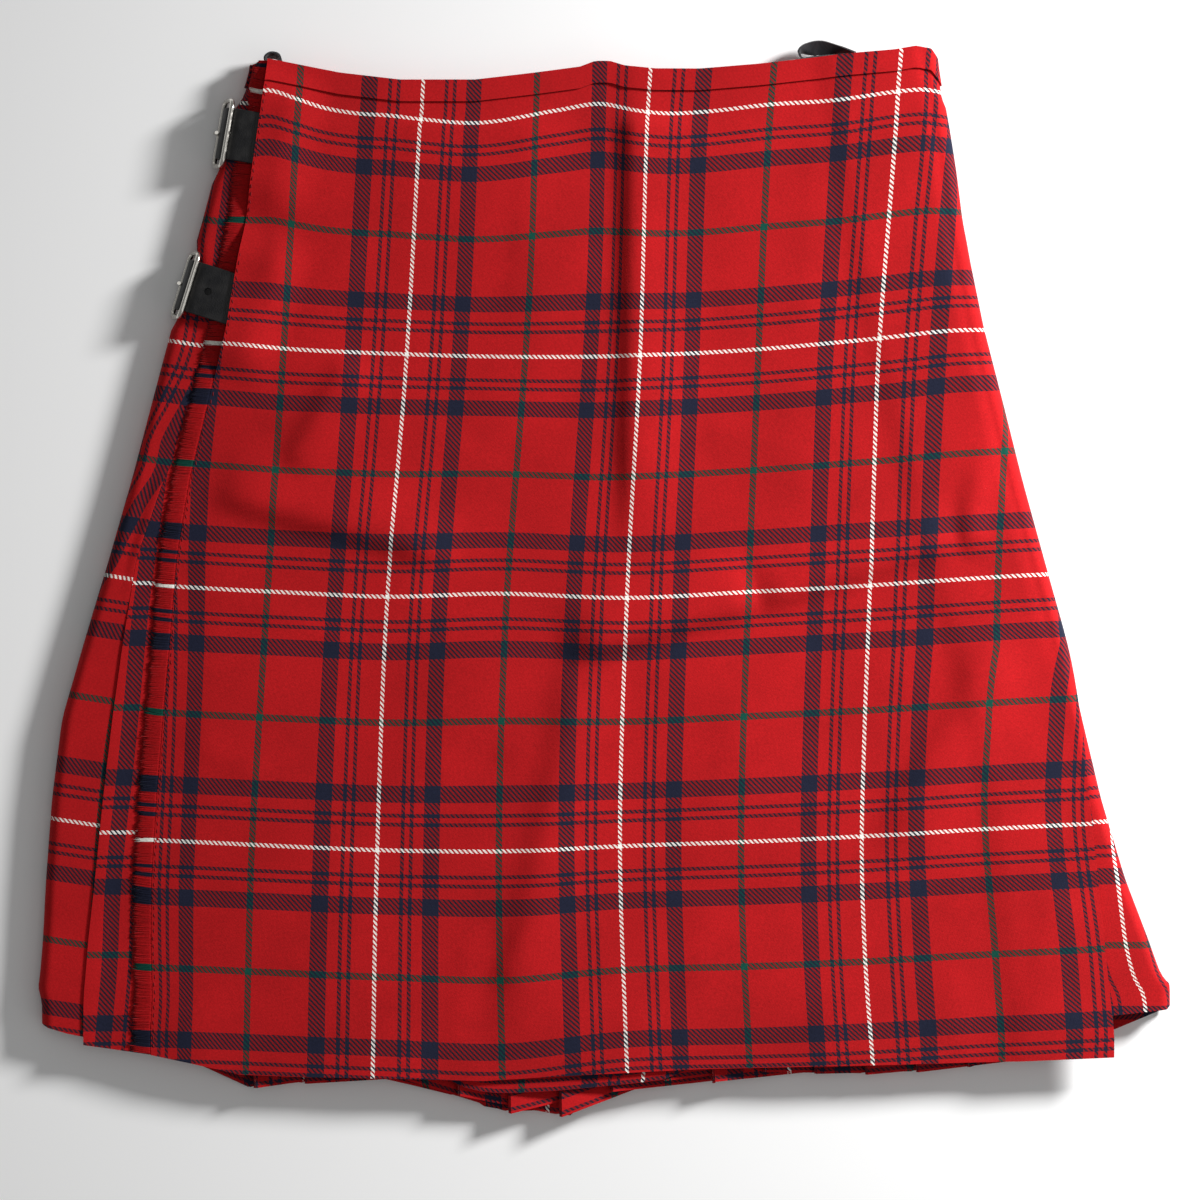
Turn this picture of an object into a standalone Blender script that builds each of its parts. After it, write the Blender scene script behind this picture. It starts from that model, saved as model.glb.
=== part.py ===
"""A tartan kilt laid flat on its pleated back, apron upwards and waist towards +Y.

The back is knife pleated. At each side the cloth rolls up to the front, where the
under apron and then the fringed over apron lie on it. Two leather straps with
buckles close the left side. Sizes are in millimetres and become metres in the mesh.
"""

import math
from collections import namedtuple

import bmesh
import bpy
import numpy as np

MM = 0.001

# Cloth and the gaps between the layers
CLOTH = 1.2
SEAM = 0.3
LAYER = CLOTH + SEAM
LEATHER = 2.2
CHAPE = 1.2
RIBBON = 1.0

# Levels of the middle of each lying layer, from the floor up
STACK_TOP = 13.2
FLOOR_LEVEL = CLOTH / 2
UNDER_LEVEL = STACK_TOP + SEAM + CLOTH / 2
APRON_LEVEL = UNDER_LEVEL + LAYER
SIDE_RADIUS = (UNDER_LEVEL - FLOOR_LEVEL) / 2
SIDE_CENTRE = (UNDER_LEVEL + FLOOR_LEVEL) / 2
APRON_RADIUS = APRON_LEVEL - SIDE_CENTRE

# Knife pleats of the back
PLEATS = 20
PLEAT_PITCH = 2.1
PLEAT_DEPTH = 1.85
BAND_DEPTH = 1.15
SIDE_STRIP = 33.0
BAND_WIDTH = 13.0
BAND_RAISE = CLOTH + SEAM
END_CLEARANCE = 9.0
STRIP_STEP = 3.0
PLEAT_REST = 0.05
FOLD_SETBACK = 1.6
PLEAT_RAMP = 3.0
LIP = 1.1

# Outline of the laid kilt, a row for each height: the left side, the fold between
# the two left pleats, the left and right edges of the over apron, the right side
SECTION_COLUMNS = ("y", "left", "pleat_line", "apron_left", "apron_right", "right")
SECTION_ROWS = (
    (311.0, -213.0, -190.0, -201.6, 201.0, 201.0),
    (298.0, -216.5, -192.2, -203.2, 203.4, 203.4),
    (288.0, -220.6, -194.0, -204.6, 205.5, 205.5),
    (284.0, -222.4, -194.6, -205.1, 206.1, 206.1),
    (246.0, -230.6, -201.2, -210.6, 212.1, 212.1),
    (241.0, -235.0, -202.1, -211.3, 212.8, 212.8),
    (215.0, -241.8, -206.5, -214.6, 216.0, 216.0),
    (198.0, -246.8, -209.5, -218.0, 219.4, 219.4),
    (194.0, -243.2, -210.1, -218.8, 219.9, 219.9),
    (158.5, -254.3, -216.3, -224.9, 227.2, 227.2),
    (153.0, -259.6, -217.2, -225.4, 228.2, 228.2),
    (107.0, -271.8, -242.4, -236.9, 240.0, 240.0),
    (59.0, -284.4, -264.3, -248.4, 252.0, 252.0),
    (11.0, -298.2, -280.8, -256.2, 265.2, 265.2),
    (-37.0, -312.6, -288.6, -260.1, 277.2, 277.2),
    (-85.0, -326.4, -295.2, -264.4, 286.2, 288.0),
    (-133.0, -332.4, -300.8, -268.2, 291.0, 299.4),
    (-181.0, -336.0, -305.6, -271.2, 296.1, 313.8),
    (-217.0, -337.8, -309.6, -271.4, 299.8, 327.6),
    (-253.0, -340.8, -312.4, -270.7, 303.2, 340.2),
    (-275.0, -338.4, -312.6, -271.8, 305.6, 340.8),
)

# Heights of the lofts' rows; the first two follow the top edge and the last the hem
APRON_HEIGHTS = (
    311.0, 295.0, 278.0, 263.0, 244.0, 226.0, 207.0, 187.0, 167.0, 147.0, 128.0, 106.0,
    82.0, 56.0, 30.0, 10.0, -8.0, -24.0, -40.0, -56.0, -70.0, -85.0, -112.0, -150.0,
    -190.0, -235.0, -290.0,
)
RIGHT_HEIGHTS = APRON_HEIGHTS[:-1] + (-275.0,)
LEFT_HEIGHTS = (
    311.0, 295.0, 284.0, 246.0, 241.0, 215.0, 198.0, 194.0, 158.5, 153.0, 107.0, 80.0, 59.0,
    35.0, 11.0, -37.0, -85.0, -133.0, -181.0, -217.0, -253.0, -275.0,
)
UNDER_HEIGHTS = (
    311.0, 295.0, 278.0, 215.0, 153.0, 107.0, 59.0, 11.0, -37.0, -85.0, -133.0, -181.0,
    -217.0, -253.0, -275.0,
)
BACK_HEIGHTS = (311.0, 295.0, 276.0, 107.0, -37.0, -181.0, -275.0)

# Cut edges: the height of each edge, by its distance from the middle
TOP_EDGE = (
    (-213.6, 309.0), (-201.6, 311.4), (-192.0, 309.6), (-158.4, 303.0), (-122.4, 298.8),
    (-77.4, 298.8), (-41.4, 303.0), (-14.4, 306.6), (-5.4, 310.0), (3.6, 310.0),
    (12.6, 307.2), (30.6, 305.4), (57.6, 305.4), (93.6, 308.4), (147.6, 314.4),
    (174.6, 316.8), (187.0, 319.0), (196.0, 317.6), (203.4, 308.4),
)
APRON_HEM = (
    (-271.8, -286.2), (-248.4, -291.0), (-217.8, -298.0), (-178.0, -299.4), (-108.0, -300.6),
    (-74.4, -301.8), (-16.0, -298.2), (57.6, -294.6), (162.6, -292.2), (248.4, -289.8),
    (305.6, -287.4),
)
UNDER_HEM = (
    (-313.0, -280.2), (-276.0, -285.6), (-250.0, -289.0), (-220.0, -295.0), (-100.0, -298.0),
    (-80.0, -307.5), (-61.0, -309.4), (-29.0, -307.8), (15.0, -303.6), (36.0, -301.0),
    (60.0, -291.0), (240.0, -284.0),
)
BACK_HEM = (
    (-330.0, -267.0), (-300.0, -274.0), (-224.0, -290.0), (-216.0, -307.0), (-157.0, -302.0),
    (-148.0, -297.0), (-112.0, -303.0), (-96.0, -312.0), (-84.0, -311.0), (-72.0, -319.2),
    (-54.0, -322.0), (-41.0, -321.4), (-14.0, -325.45), (-9.0, -309.0), (21.0, -308.2),
    (34.0, -302.0), (66.0, -303.6), (74.0, -296.0), (150.0, -298.6), (182.0, -297.6),
    (247.0, -291.0), (256.0, -280.0), (300.0, -274.0),
)
LEFT_SIDE_HEM = ((-340.8, -266.0), (-334.0, -270.0), (-322.0, -273.6), (-312.6, -275.4))
RIGHT_TOP_HEM = ((240.0, -262.0), (305.0, -262.8), (338.0, -259.2), (341.0, -254.0))
RIGHT_FLOOR_HEM = ((300.0, -276.0), (340.8, -259.0))

# Main folds of the over apron: both ends of each crest, its height, and the half width
# of its steep side, to the left on the way from first to last end, and of its gentle side
Fold = namedtuple("Fold", "x0 y0 x1 y1 height steep gentle")
FOLD_ROWS = (
    Fold(17.0, 40.0, 19.0, 318.0, 3.0, 8.0, 26.0),
    Fold(92.0, -13.0, -16.0, -43.0, 3.2, 9.0, 24.0),
    Fold(206.0, 22.0, 92.0, -13.0, 2.6, 9.0, 24.0),
    Fold(218.0, 20.0, 236.0, 92.0, 2.4, 9.0, 18.0),
    Fold(-100.0, 16.0, -228.0, 50.0, 2.6, 8.0, 22.0),
    Fold(-188.0, 66.0, -152.0, 128.0, 1.8, 9.0, 18.0),
    Fold(176.0, -150.0, 234.0, -44.0, 2.0, 12.0, 22.0),
    Fold(-56.0, -256.0, -14.0, -60.0, 1.8, 12.0, 22.0),
)

# Columns of the over apron as parts of its width, closer together at the ridges,
# and how it rolls round the right side in its upper part
APRON_PARTS = (
    0.0, 0.011, 0.022, 0.04, 0.07, 0.11, 0.17, 0.24, 0.31, 0.38, 0.44, 0.48, 0.505, 0.525,
    0.545, 0.565, 0.61, 0.68, 0.75, 0.82, 0.86, 0.885, 0.92, 0.96, 0.985, 1.0,
)
WRAP_COLUMNS = 6
WRAP_ANGLE = 136.0
WRAP_BOTTOM = -85.0
WRAP_TOP = 20.0
PEEL_LOOSENESS = 0.5

# The deep pleat at the right: how far its hidden fold lies from the edge, and how
# far it reaches under the apron's free fold edge or under the rolled apron
DEEP_FOLD = 48.0
DEEP_FOLD_REST = 24.0
EDGE_COVER = 7.0
ROLLED_COVER = 19.4

# Fringe of the over apron
STRANDS = 100
FRINGE_BACKING = 2.4
STRAND_LENGTH = 8.6
STRAND_THICKNESS = 0.8
FRINGE_END = 1.0

# Straps: the place of each buckle's outer bar seen from above, the way the strap points
# there, its distance from the apron's edge, and from any spare hole
Strap = namedtuple("Strap", "name x y turn apron_distance holes")
STRAP_ROWS = (
    Strap("upper", -232.0, 267.6, 170.0, 25.0, ()),
    Strap("lower", -254.6, 177.0, 162.5, 33.4, (18.3,)),
)
STRAP_WIDTH = 31.0
STRAP_TUCK = 4.5
CHAPE_TUCK = 8.0
CHAPE_INSET = 2.0
CHAPE_RISE = 42.0
STRAP_LEVEL = APRON_LEVEL + CLOTH / 2 + SEAM + CHAPE + SEAM + LEATHER / 2
CHAPE_LEVEL = APRON_LEVEL + CLOTH / 2 + SEAM + CHAPE / 2
HOLE_RADIUS = 2.3
HOLE_DEPTH = 4.0
FRAME_WIRE = 1.5
FRAME_LENGTH = 43.0
FRAME_CORNER = 5.0
HINGE_WIRE = 1.0
PRONG_WIRE = 1.1

# Round the left side, places are a turn in degrees from straight up and a radius
STRAP_ROUTE = (
    (124.0, 8.9), (112.0, 9.7), (104.0, 10.4), (90.0, 11.2), (66.0, 11.9), (45.0, 11.6),
    (27.0, 11.1), (12.0, 11.7),
)
CHAPE_ROUTE = ((53.0, 8.7), (28.0, 8.9), (14.0, 9.4))
PRONG_ROUTE = ((72.0, 14.6), (90.0, 14.9), (101.0, 16.1), (109.0, 16.2))
OUTER_BAR = (104.0, 13.4)
NEAR_BAR = (27.0, 14.0)
HINGE_BAR = (66.0, 9.3)

# Hanger loops of ribbon that stand on edge at the waist
RIGHT_LOOP = (
    (138.6, 313.1), (134.0, 315.0), (126.0, 313.7), (118.4, 312.6), (116.8, 316.6),
    (119.4, 320.4), (124.8, 322.6), (130.8, 323.4), (138.6, 321.4), (145.6, 318.2),
    (151.5, 314.6),
)
LEFT_LOOP = (
    (-201.8, 310.7), (-203.9, 313.4), (-200.6, 315.6), (-195.6, 314.4), (-192.8, 311.8),
    (-193.6, 309.2),
)
LOOP_BOTTOM = 3.6
LOOP_TOP = 12.6

CLOTH_RED = (0.40, 0.008, 0.010)
CLOTH_BLUE = (0.018, 0.019, 0.040)
LEATHER_BLACK = (0.012, 0.012, 0.013)
STEEL = (0.74, 0.72, 0.69)


def clear_scene():
    for obj in list(bpy.data.objects):
        bpy.data.objects.remove(obj, do_unlink=True)


def new_collection(name):
    collection = bpy.data.collections.new(name)
    bpy.context.scene.collection.children.link(collection)
    return collection


def new_material(name, colour, roughness, metallic=0.0):
    material = bpy.data.materials.new(name)
    material.use_nodes = True
    shader = material.node_tree.nodes["Principled BSDF"]
    shader.inputs["Base Color"].default_value = (*colour, 1.0)
    shader.inputs["Roughness"].default_value = roughness
    shader.inputs["Metallic"].default_value = metallic
    return material


def column(rows, names, name):
    index = names.index(name)
    return np.array([row[index] for row in rows], float)


HEIGHTS = column(SECTION_ROWS, SECTION_COLUMNS, "y")


def section(name, y):
    values = column(SECTION_ROWS, SECTION_COLUMNS, name)
    return float(np.interp(y, HEIGHTS[::-1], values[::-1]))


def edge_height(edge, x):
    return float(np.interp(x, [point[0] for point in edge], [point[1] for point in edge]))


def smooth_step(start, end, value):
    part = min(max((value - start) / (end - start), 0.0), 1.0)
    return part * part * (3.0 - 2.0 * part)


def add_mesh(name, points, faces, material, collection):
    mesh = bpy.data.meshes.new(name)
    mesh.from_pydata([tuple(c * MM for c in point) for point in points], [], faces)
    mesh.materials.append(material)
    obj = bpy.data.objects.new(name, mesh)
    collection.objects.link(obj)
    return obj


def sheet(name, rows, material, collection, thickness=CLOTH):
    """A wall of even thickness about the surface through the rows of points."""
    width = len(rows[0])
    points = [point for row in rows for point in row]
    faces = []
    for r in range(len(rows) - 1):
        for c in range(width - 1):
            a = r * width + c
            faces.append((a, a + 1, a + width + 1, a + width))
    obj = add_mesh(name, points, faces, material, collection)
    solid = obj.modifiers.new("Wall", "SOLIDIFY")
    solid.thickness = thickness * MM
    solid.offset = 0.0
    solid.use_even_offset = True
    return obj


def rows_between(top_edge, hem_edge, heights, profile):
    """Rows of a loft: the first two follow the top edge, the last follows the hem."""
    rows = []
    for index, y in enumerate(heights):
        row = []
        for x, z in profile(y):
            height = y
            if index < 2:
                height = top_edge(x, z) - (heights[0] - y)
            if index == len(heights) - 1:
                height = hem_edge(x, z)
            row.append((x, height, z))
        rows.append(row)
    return rows


def arc(centre_x, centre_z, radius, start, end, count):
    """Points on a circle, with angles in degrees from straight up, positive to the right."""
    angles = np.radians(np.linspace(start, end, count))
    return [(centre_x + radius * math.sin(a), centre_z + radius * math.cos(a)) for a in angles]


def strip_edge(name, y):
    """Where a side's cloth ends on the floor and the first or last pleat face begins."""
    inward = 1.0 if name == "left" else -1.0
    edges = [section(name, height) + inward * SIDE_STRIP for height in BACK_HEIGHTS]
    return float(np.interp(y, BACK_HEIGHTS[::-1], edges[::-1]))


def band_raise(y):
    """How far the cloth is drawn in at the waist to leave room for the band outside it."""
    return BAND_RAISE * smooth_step(284.0, 292.0, y)


def pleat_profile(y):
    """Knife pleats from the left side to the right, their faces flat on the floor."""
    start = strip_edge("left", y) + SEAM
    end = strip_edge("right", y) - SEAM
    reveal = (end - start) / PLEATS
    lift = band_raise(y) + PLEAT_REST
    depth = reveal * (PLEAT_DEPTH + (BAND_DEPTH - PLEAT_DEPTH) * band_raise(y) / BAND_RAISE)
    limit = section("left", y) + END_CLEARANCE + lift
    slope = 2.0 * PLEAT_PITCH / reveal
    nose = PLEAT_PITCH / 2.0
    points = []
    for index in range(PLEATS):
        left = start + index * reveal
        right = left + reveal - FOLD_SETBACK
        tuck = max(left - depth, limit)
        rise = slope * (left - tuck)
        if index > 0:
            points.append((tuck, FLOOR_LEVEL + lift + 2.0 * PLEAT_PITCH + rise))
        points.append((left, FLOOR_LEVEL + lift + 2.0 * PLEAT_PITCH))
        points.append((left + PLEAT_RAMP, FLOOR_LEVEL + lift))
        points.append((right, FLOOR_LEVEL + lift))
        if index == PLEATS - 1:
            break
        points.append((right + nose, FLOOR_LEVEL + lift + nose))
        points.append((right, FLOOR_LEVEL + lift + PLEAT_PITCH))
        next_tuck = max(left + reveal - depth, limit)
        rise = slope * (left + reveal - next_tuck)
        points.append((next_tuck, FLOOR_LEVEL + lift + PLEAT_PITCH + rise))
        points.append((next_tuck - nose, FLOOR_LEVEL + lift + 1.5 * PLEAT_PITCH + rise))
    return points


def left_side_profile(y):
    """The outer left pleat: along the floor, round the side, then over to the fold line."""
    left = section("left", y)
    centre = left + SIDE_RADIUS + CLOTH / 2
    drawn = band_raise(y) / 2
    middle = SIDE_CENTRE + drawn
    radius = SIDE_RADIUS - drawn
    line = section("pleat_line", y) - SEAM / 2
    lip = LIP * smooth_step(80.0, 50.0, y) * smooth_step(-25.0, 20.0, y)
    inner = strip_edge("left", y) - drawn * STRIP_STEP
    points = [(inner, middle - radius), (left + 2.0 * SIDE_RADIUS, middle - radius)]
    points += arc(centre + drawn, middle, radius, 180.0, 360.0, 9)
    for part in (0.4, 0.75, 1.0):
        x = centre + (line - centre) * part
        points.append((x, UNDER_LEVEL + lip * smooth_step(0.4, 1.0, part)))
    return points


def under_apron_profile(y):
    """The under apron, whose left fold shows beside the fringe as the inner pleat."""
    line = section("pleat_line", y) + SEAM / 2
    end = right_fold(y) - SEAM - 2.0 * LAYER
    lip = LIP * smooth_step(10.0, -50.0, y)
    points = []
    for part in (0.0, 0.02, 0.05, 0.2, 0.4, 0.6, 0.8, 1.0):
        x = line + (end - line) * part
        points.append((x, UNDER_LEVEL + lip * (1.0 - smooth_step(0.0, 0.03, part))))
    return points


def wrap_part(y):
    """One where the apron rolls round the right side, none where its edge lies free."""
    return smooth_step(WRAP_BOTTOM, WRAP_TOP, y)


def right_centre(y):
    """The middle of the rolled right side, which the over apron wraps in its upper part."""
    wrapped = section("right", y) - APRON_RADIUS - CLOTH / 2
    bare = section("right", y) - SIDE_RADIUS - CLOTH / 2
    return bare + (wrapped - bare) * wrap_part(y) - band_raise(y) / 2


def right_fold(y):
    return min(section("apron_right", y), right_centre(y)) - DEEP_FOLD


def right_side_profile(y):
    """The deep right pleat: back under the apron, then out, round the side and down."""
    centre = right_centre(y)
    fold = right_fold(y)
    cover = EDGE_COVER + (ROLLED_COVER - EDGE_COVER) * wrap_part(y)
    start = section("apron_right", y) - cover
    drawn = band_raise(y) / 2
    middle = SIDE_CENTRE + drawn
    radius = SIDE_RADIUS - drawn
    points = [(start, APRON_LEVEL), (fold, APRON_LEVEL)]
    points.append((fold - LAYER / 2, (APRON_LEVEL + UNDER_LEVEL) / 2))
    points.append((fold, UNDER_LEVEL))
    points.append((fold + DEEP_FOLD_REST, UNDER_LEVEL))
    points += arc(centre, middle, radius, 0.0, 180.0, 9)
    points.append((strip_edge("right", y) + drawn * STRIP_STEP, middle - radius))
    return points


def ridge(x, y, fold):
    """Height of one fold at a point, steeper on one side and fading towards both ends."""
    run_x = fold.x1 - fold.x0
    run_y = fold.y1 - fold.y0
    length = math.hypot(run_x, run_y)
    along = ((x - fold.x0) * run_x + (y - fold.y0) * run_y) / length
    across = ((y - fold.y0) * run_x - (x - fold.x0) * run_y) / length
    width = fold.steep if across > 0.0 else fold.gentle
    fade = smooth_step(-0.15 * length, 0.15 * length, along)
    fade *= smooth_step(1.15 * length, 0.85 * length, along)
    return fold.height * fade * math.exp(-((across / width) ** 2))


def strap_lift(x, y):
    """How far the apron's edge rides up over the strap ends tucked under it."""
    lift = 0.0
    for strap in STRAP_ROWS:
        direction = math.radians(strap.turn)
        end_x = strap.x - strap.apron_distance * math.cos(direction)
        end_y = strap.y - strap.apron_distance * math.sin(direction)
        across = abs((y - end_y) * math.cos(direction) - (x - end_x) * math.sin(direction))
        beyond = max((end_x - x) * math.cos(direction) + (end_y - y) * math.sin(direction), 0.0)
        near = smooth_step(STRAP_WIDTH / 2 + 36.0, STRAP_WIDTH / 2 + 8.0, across)
        lift = max(lift, near * smooth_step(CHAPE_RISE, CHAPE_TUCK + 4.0, beyond))
    return lift * (STRAP_LEVEL + LEATHER / 2 + SEAM + CLOTH / 2 - APRON_LEVEL + 0.2)


def apron_height(x, y):
    """The middle of the over apron's cloth where it lies flat."""
    over_pleat = smooth_step(right_fold(y) - 22.0, right_fold(y) - 4.0, x)
    past_pleat = smooth_step(right_centre(y) - 7.0, right_centre(y), x)
    height = APRON_LEVEL + LAYER * over_pleat * (1.0 - past_pleat * wrap_part(y))
    swell = max(ridge(x, y, fold) for fold in FOLD_ROWS)
    calm = smooth_step(section("apron_left", y), section("apron_left", y) + 30.0, x)
    calm *= 1.0 - smooth_step(right_centre(y) - 40.0, right_centre(y), x)
    return height + swell * calm + strap_lift(x, y)


def apron_profile(y):
    """The over apron: flat, then round the right side while there is no free fold edge."""
    left = section("apron_left", y)
    centre = right_centre(y)
    flat_end = min(centre, section("apron_right", y) - 0.5)
    points = []
    for part in APRON_PARTS:
        x = left + (flat_end - left) * part
        points.append((x, apron_height(x, y)))
    reach = (section("apron_right", y) - centre) / (APRON_RADIUS + CLOTH / 2)
    edge_angle = math.degrees(math.asin(min(max(reach, 0.06), 1.0)))
    last = edge_angle + (WRAP_ANGLE - edge_angle) * wrap_part(y)
    end_x, end_z = points[-1]
    middle = SIDE_CENTRE + band_raise(y) / 2
    extra = end_z - APRON_LEVEL
    loose = PEEL_LOOSENESS * math.sin(math.pi * wrap_part(y))
    for angle in np.linspace(0.0, last, WRAP_COLUMNS + 1)[1:]:
        spread = APRON_LEVEL - middle + extra * (1.0 - smooth_step(0.0, 80.0, angle))
        spread += loose * smooth_step(0.0, 30.0, angle)
        turn = math.radians(angle)
        points.append((end_x + spread * math.sin(turn), middle + spread * math.cos(turn)))
    return points


def top_of(drop):
    return lambda x, z: edge_height(TOP_EDGE, x) - drop


def hem_of(edge):
    return lambda x, z: edge_height(edge, x)


def right_side_hem(x, z):
    floor_part = smooth_step(UNDER_LEVEL - 2.0, FLOOR_LEVEL + 2.0, z)
    top = edge_height(RIGHT_TOP_HEM, x)
    return top + (edge_height(RIGHT_FLOOR_HEM, x) - top) * floor_part


def over_apron_rows():
    return rows_between(top_of(0.0), hem_of(APRON_HEM), APRON_HEIGHTS, apron_profile)


def build_cloth(red, blue, collection):
    back = rows_between(top_of(1.0), hem_of(BACK_HEM), BACK_HEIGHTS, pleat_profile)
    sheet("pleated_back", back, blue, collection)
    left = rows_between(top_of(1.0), hem_of(LEFT_SIDE_HEM), LEFT_HEIGHTS, left_side_profile)
    sheet("left_side_pleat", left, red, collection)
    right = rows_between(top_of(1.0), right_side_hem, RIGHT_HEIGHTS, right_side_profile)
    sheet("right_side_pleat", right, red, collection)
    under = rows_between(top_of(0.5), hem_of(UNDER_HEM), UNDER_HEIGHTS, under_apron_profile)
    sheet("under_apron", under, blue, collection)
    over = over_apron_rows()
    sheet("over_apron", over, red, collection)


def moved_out(profile, distance):
    """A line of points shifted to its left side, as it runs, by an even distance."""
    line = np.array(profile, float)
    step = np.diff(line, axis=0)
    step /= np.linalg.norm(step, axis=1)[:, None]
    side = np.stack([-step[:, 1], step[:, 0]], axis=1)
    before = np.vstack([side[:1], side])
    after = np.vstack([side, side[-1:]])
    spread = 1.0 + (before * after).sum(axis=1)
    return [tuple(point) for point in line + distance * (before + after) / spread[:, None]]


def between_top_rows(profile, y):
    """A profile between the two rows of a loft that follow the top edge."""
    upper, lower = APRON_HEIGHTS[:2]
    part = (upper - y) / (upper - lower)
    return (1.0 - part) * np.array(profile(upper)) + part * np.array(profile(lower))


def front_band_profile(y):
    """Over the apron and round the right side, ending clear of the floor."""
    line = moved_out(between_top_rows(apron_profile, y), LAYER)
    return line[: 1 - WRAP_COLUMNS // 3]


def back_band_profile(y):
    """Round the left side, then flat on the floor across the pleats to the right side."""
    drawn = band_raise(y) / 2
    upper, lower = APRON_HEIGHTS[:2]
    edge = np.interp(y, (lower, upper), (section("left", lower), section("left", upper)))
    left = edge + SIDE_RADIUS + CLOTH / 2 + drawn
    radius = SIDE_RADIUS - drawn + LAYER
    points = arc(left, SIDE_CENTRE + drawn, radius, 300.0, 180.0, 7)
    for part in np.linspace(0.0, 1.0, 8)[1:]:
        points.append((left + (right_centre(y) + 2.0 - left) * part, FLOOR_LEVEL))
    return points


def build_waistbands(red, collection):
    for name, profile, drop in (
        ("waistband_front", front_band_profile, 0.0),
        ("waistband_back", back_band_profile, 1.0),
    ):
        rows = []
        for below in (0.0, BAND_WIDTH / 2, BAND_WIDTH):
            line = profile(APRON_HEIGHTS[0] - below)
            rows.append([(x, edge_height(TOP_EDGE, x) - drop - below, z) for x, z in line])
        sheet(name, rows, red, collection)


def build_fringe(red, collection):
    """A comb of strands, drawn out of the long side of one narrow strip by the apron."""
    edge = [row[0] for row in over_apron_rows()]
    edge_y = [point[1] for point in edge][::-1]
    edge_x = [point[0] - SEAM for point in edge][::-1]

    def fringe_line(y):
        return float(np.interp(y, edge_y, edge_x))

    top = edge_y[-1] - FRINGE_END
    bottom = edge_y[0] + FRINGE_END
    half = STRAND_THICKNESS / 2
    count = 2 * STRANDS + 1
    heights = np.linspace(top, bottom, count)
    points = []
    for y in heights:
        inner = fringe_line(y)
        for x in (inner, inner - FRINGE_BACKING):
            for z in (APRON_LEVEL - half, APRON_LEVEL + half):
                points.append((x, y, z))
    faces = []
    for index in range(count - 1):
        a = 4 * index
        b = a + 4
        faces.append((a, a + 1, b + 1, b))
        faces.append((a + 1, a + 3, b + 3, b + 1))
        faces.append((a + 2, a, b, b + 2))
        if index % 2 == 1:
            faces.append((a + 3, a + 2, b + 2, b + 3))
            continue
        y = (heights[index] + heights[index + 1]) / 2
        wave = math.sin(index * 2.1) + math.sin(index * 0.73)
        root = fringe_line(y) - FRINGE_BACKING
        tip = len(points)
        points.append((root - STRAND_LENGTH - 0.7 * wave, y + 0.9 * wave, APRON_LEVEL - 0.1))
        for near, far in ((a + 3, a + 2), (a + 2, b + 2), (b + 2, b + 3), (b + 3, a + 3)):
            faces.append((near, far, tip))
    faces.append((0, 2, 3, 1))
    last = 4 * (count - 1)
    faces.append((last, last + 1, last + 3, last + 2))
    obj = add_mesh("apron_fringe", points, faces, red, collection)
    recalculate_outside(obj.data)


def recalculate_outside(mesh):
    shape = bmesh.new()
    shape.from_mesh(mesh)
    bmesh.ops.recalc_face_normals(shape, faces=shape.faces)
    shape.to_mesh(mesh)
    shape.free()


def polar(turn, radius):
    """Along and height of a place round the left side, from the middle of its roll."""
    angle = math.radians(turn)
    return (radius * math.sin(angle), SIDE_CENTRE + radius * math.cos(angle))


BAR_ALONG = polar(*OUTER_BAR)[0]


def strap_place(strap):
    """A function that puts a point given along, across and above the strap in the kilt."""
    direction = math.radians(strap.turn)

    def place(along, across, z):
        out = along - BAR_ALONG
        x = strap.x + out * math.cos(direction) - across * math.sin(direction)
        y = strap.y + out * math.sin(direction) + across * math.cos(direction)
        return (x, y, z)

    return place


def strap_path(strap):
    """The middle of the strap: up the side from the floor, then flat to the apron."""
    points = [polar(*spot) for spot in STRAP_ROUTE]
    end = apron_edge_along(strap) - STRAP_TUCK
    points.append((-3.0, STRAP_LEVEL))
    points.append((end, STRAP_LEVEL))
    return points


def apron_edge_along(strap):
    return BAR_ALONG - strap.apron_distance


def cut_holes(obj, strap, cutters):
    place = strap_place(strap)
    for distance in strap.holes:
        centre = place(BAR_ALONG - distance, 0.0, STRAP_LEVEL)
        bpy.ops.mesh.primitive_cylinder_add(
            vertices=16, radius=HOLE_RADIUS * MM, depth=HOLE_DEPTH * MM
        )
        cutter = bpy.context.object
        cutter.name = obj.name + "_hole_cutter"
        cutter.location = [c * MM for c in centre]
        cutter.hide_render = True
        cutter.display_type = "WIRE"
        for owner in list(cutter.users_collection):
            owner.objects.unlink(cutter)
        cutters.objects.link(cutter)
        cut = obj.modifiers.new("Hole", "BOOLEAN")
        cut.object = cutter
        cut.operation = "DIFFERENCE"


def build_straps(leather, collection, cutters):
    half = STRAP_WIDTH / 2
    for strap in STRAP_ROWS:
        place = strap_place(strap)
        rows = [[place(s, v, z) for v in (-half, half)] for s, z in strap_path(strap)]
        obj = sheet("strap_" + strap.name, rows, leather, collection, LEATHER)
        cut_holes(obj, strap, cutters)
        end = apron_edge_along(strap) - CHAPE_TUCK
        path = [polar(*spot) for spot in CHAPE_ROUTE]
        path += [(0.0, CHAPE_LEVEL), (end, CHAPE_LEVEL)]
        edges = (CHAPE_INSET - half, half - CHAPE_INSET)
        rows = [[place(s, v, z) for v in edges] for s, z in path]
        sheet("chape_" + strap.name, rows, leather, collection, CHAPE)


def tube(name, points, radius, closed, material, collection):
    """A closed or open wire through points in millimetres."""
    curve = bpy.data.curves.new(name, "CURVE")
    curve.dimensions = "3D"
    curve.bevel_depth = radius * MM
    curve.bevel_resolution = 2
    curve.use_fill_caps = not closed
    spline = curve.splines.new("POLY")
    spline.points.add(len(points) - 1)
    for target, point in zip(spline.points, points):
        target.co = (*[c * MM for c in point], 1.0)
    spline.use_cyclic_u = closed
    curve.materials.append(material)
    obj = bpy.data.objects.new(name, curve)
    collection.objects.link(obj)
    return obj


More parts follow.
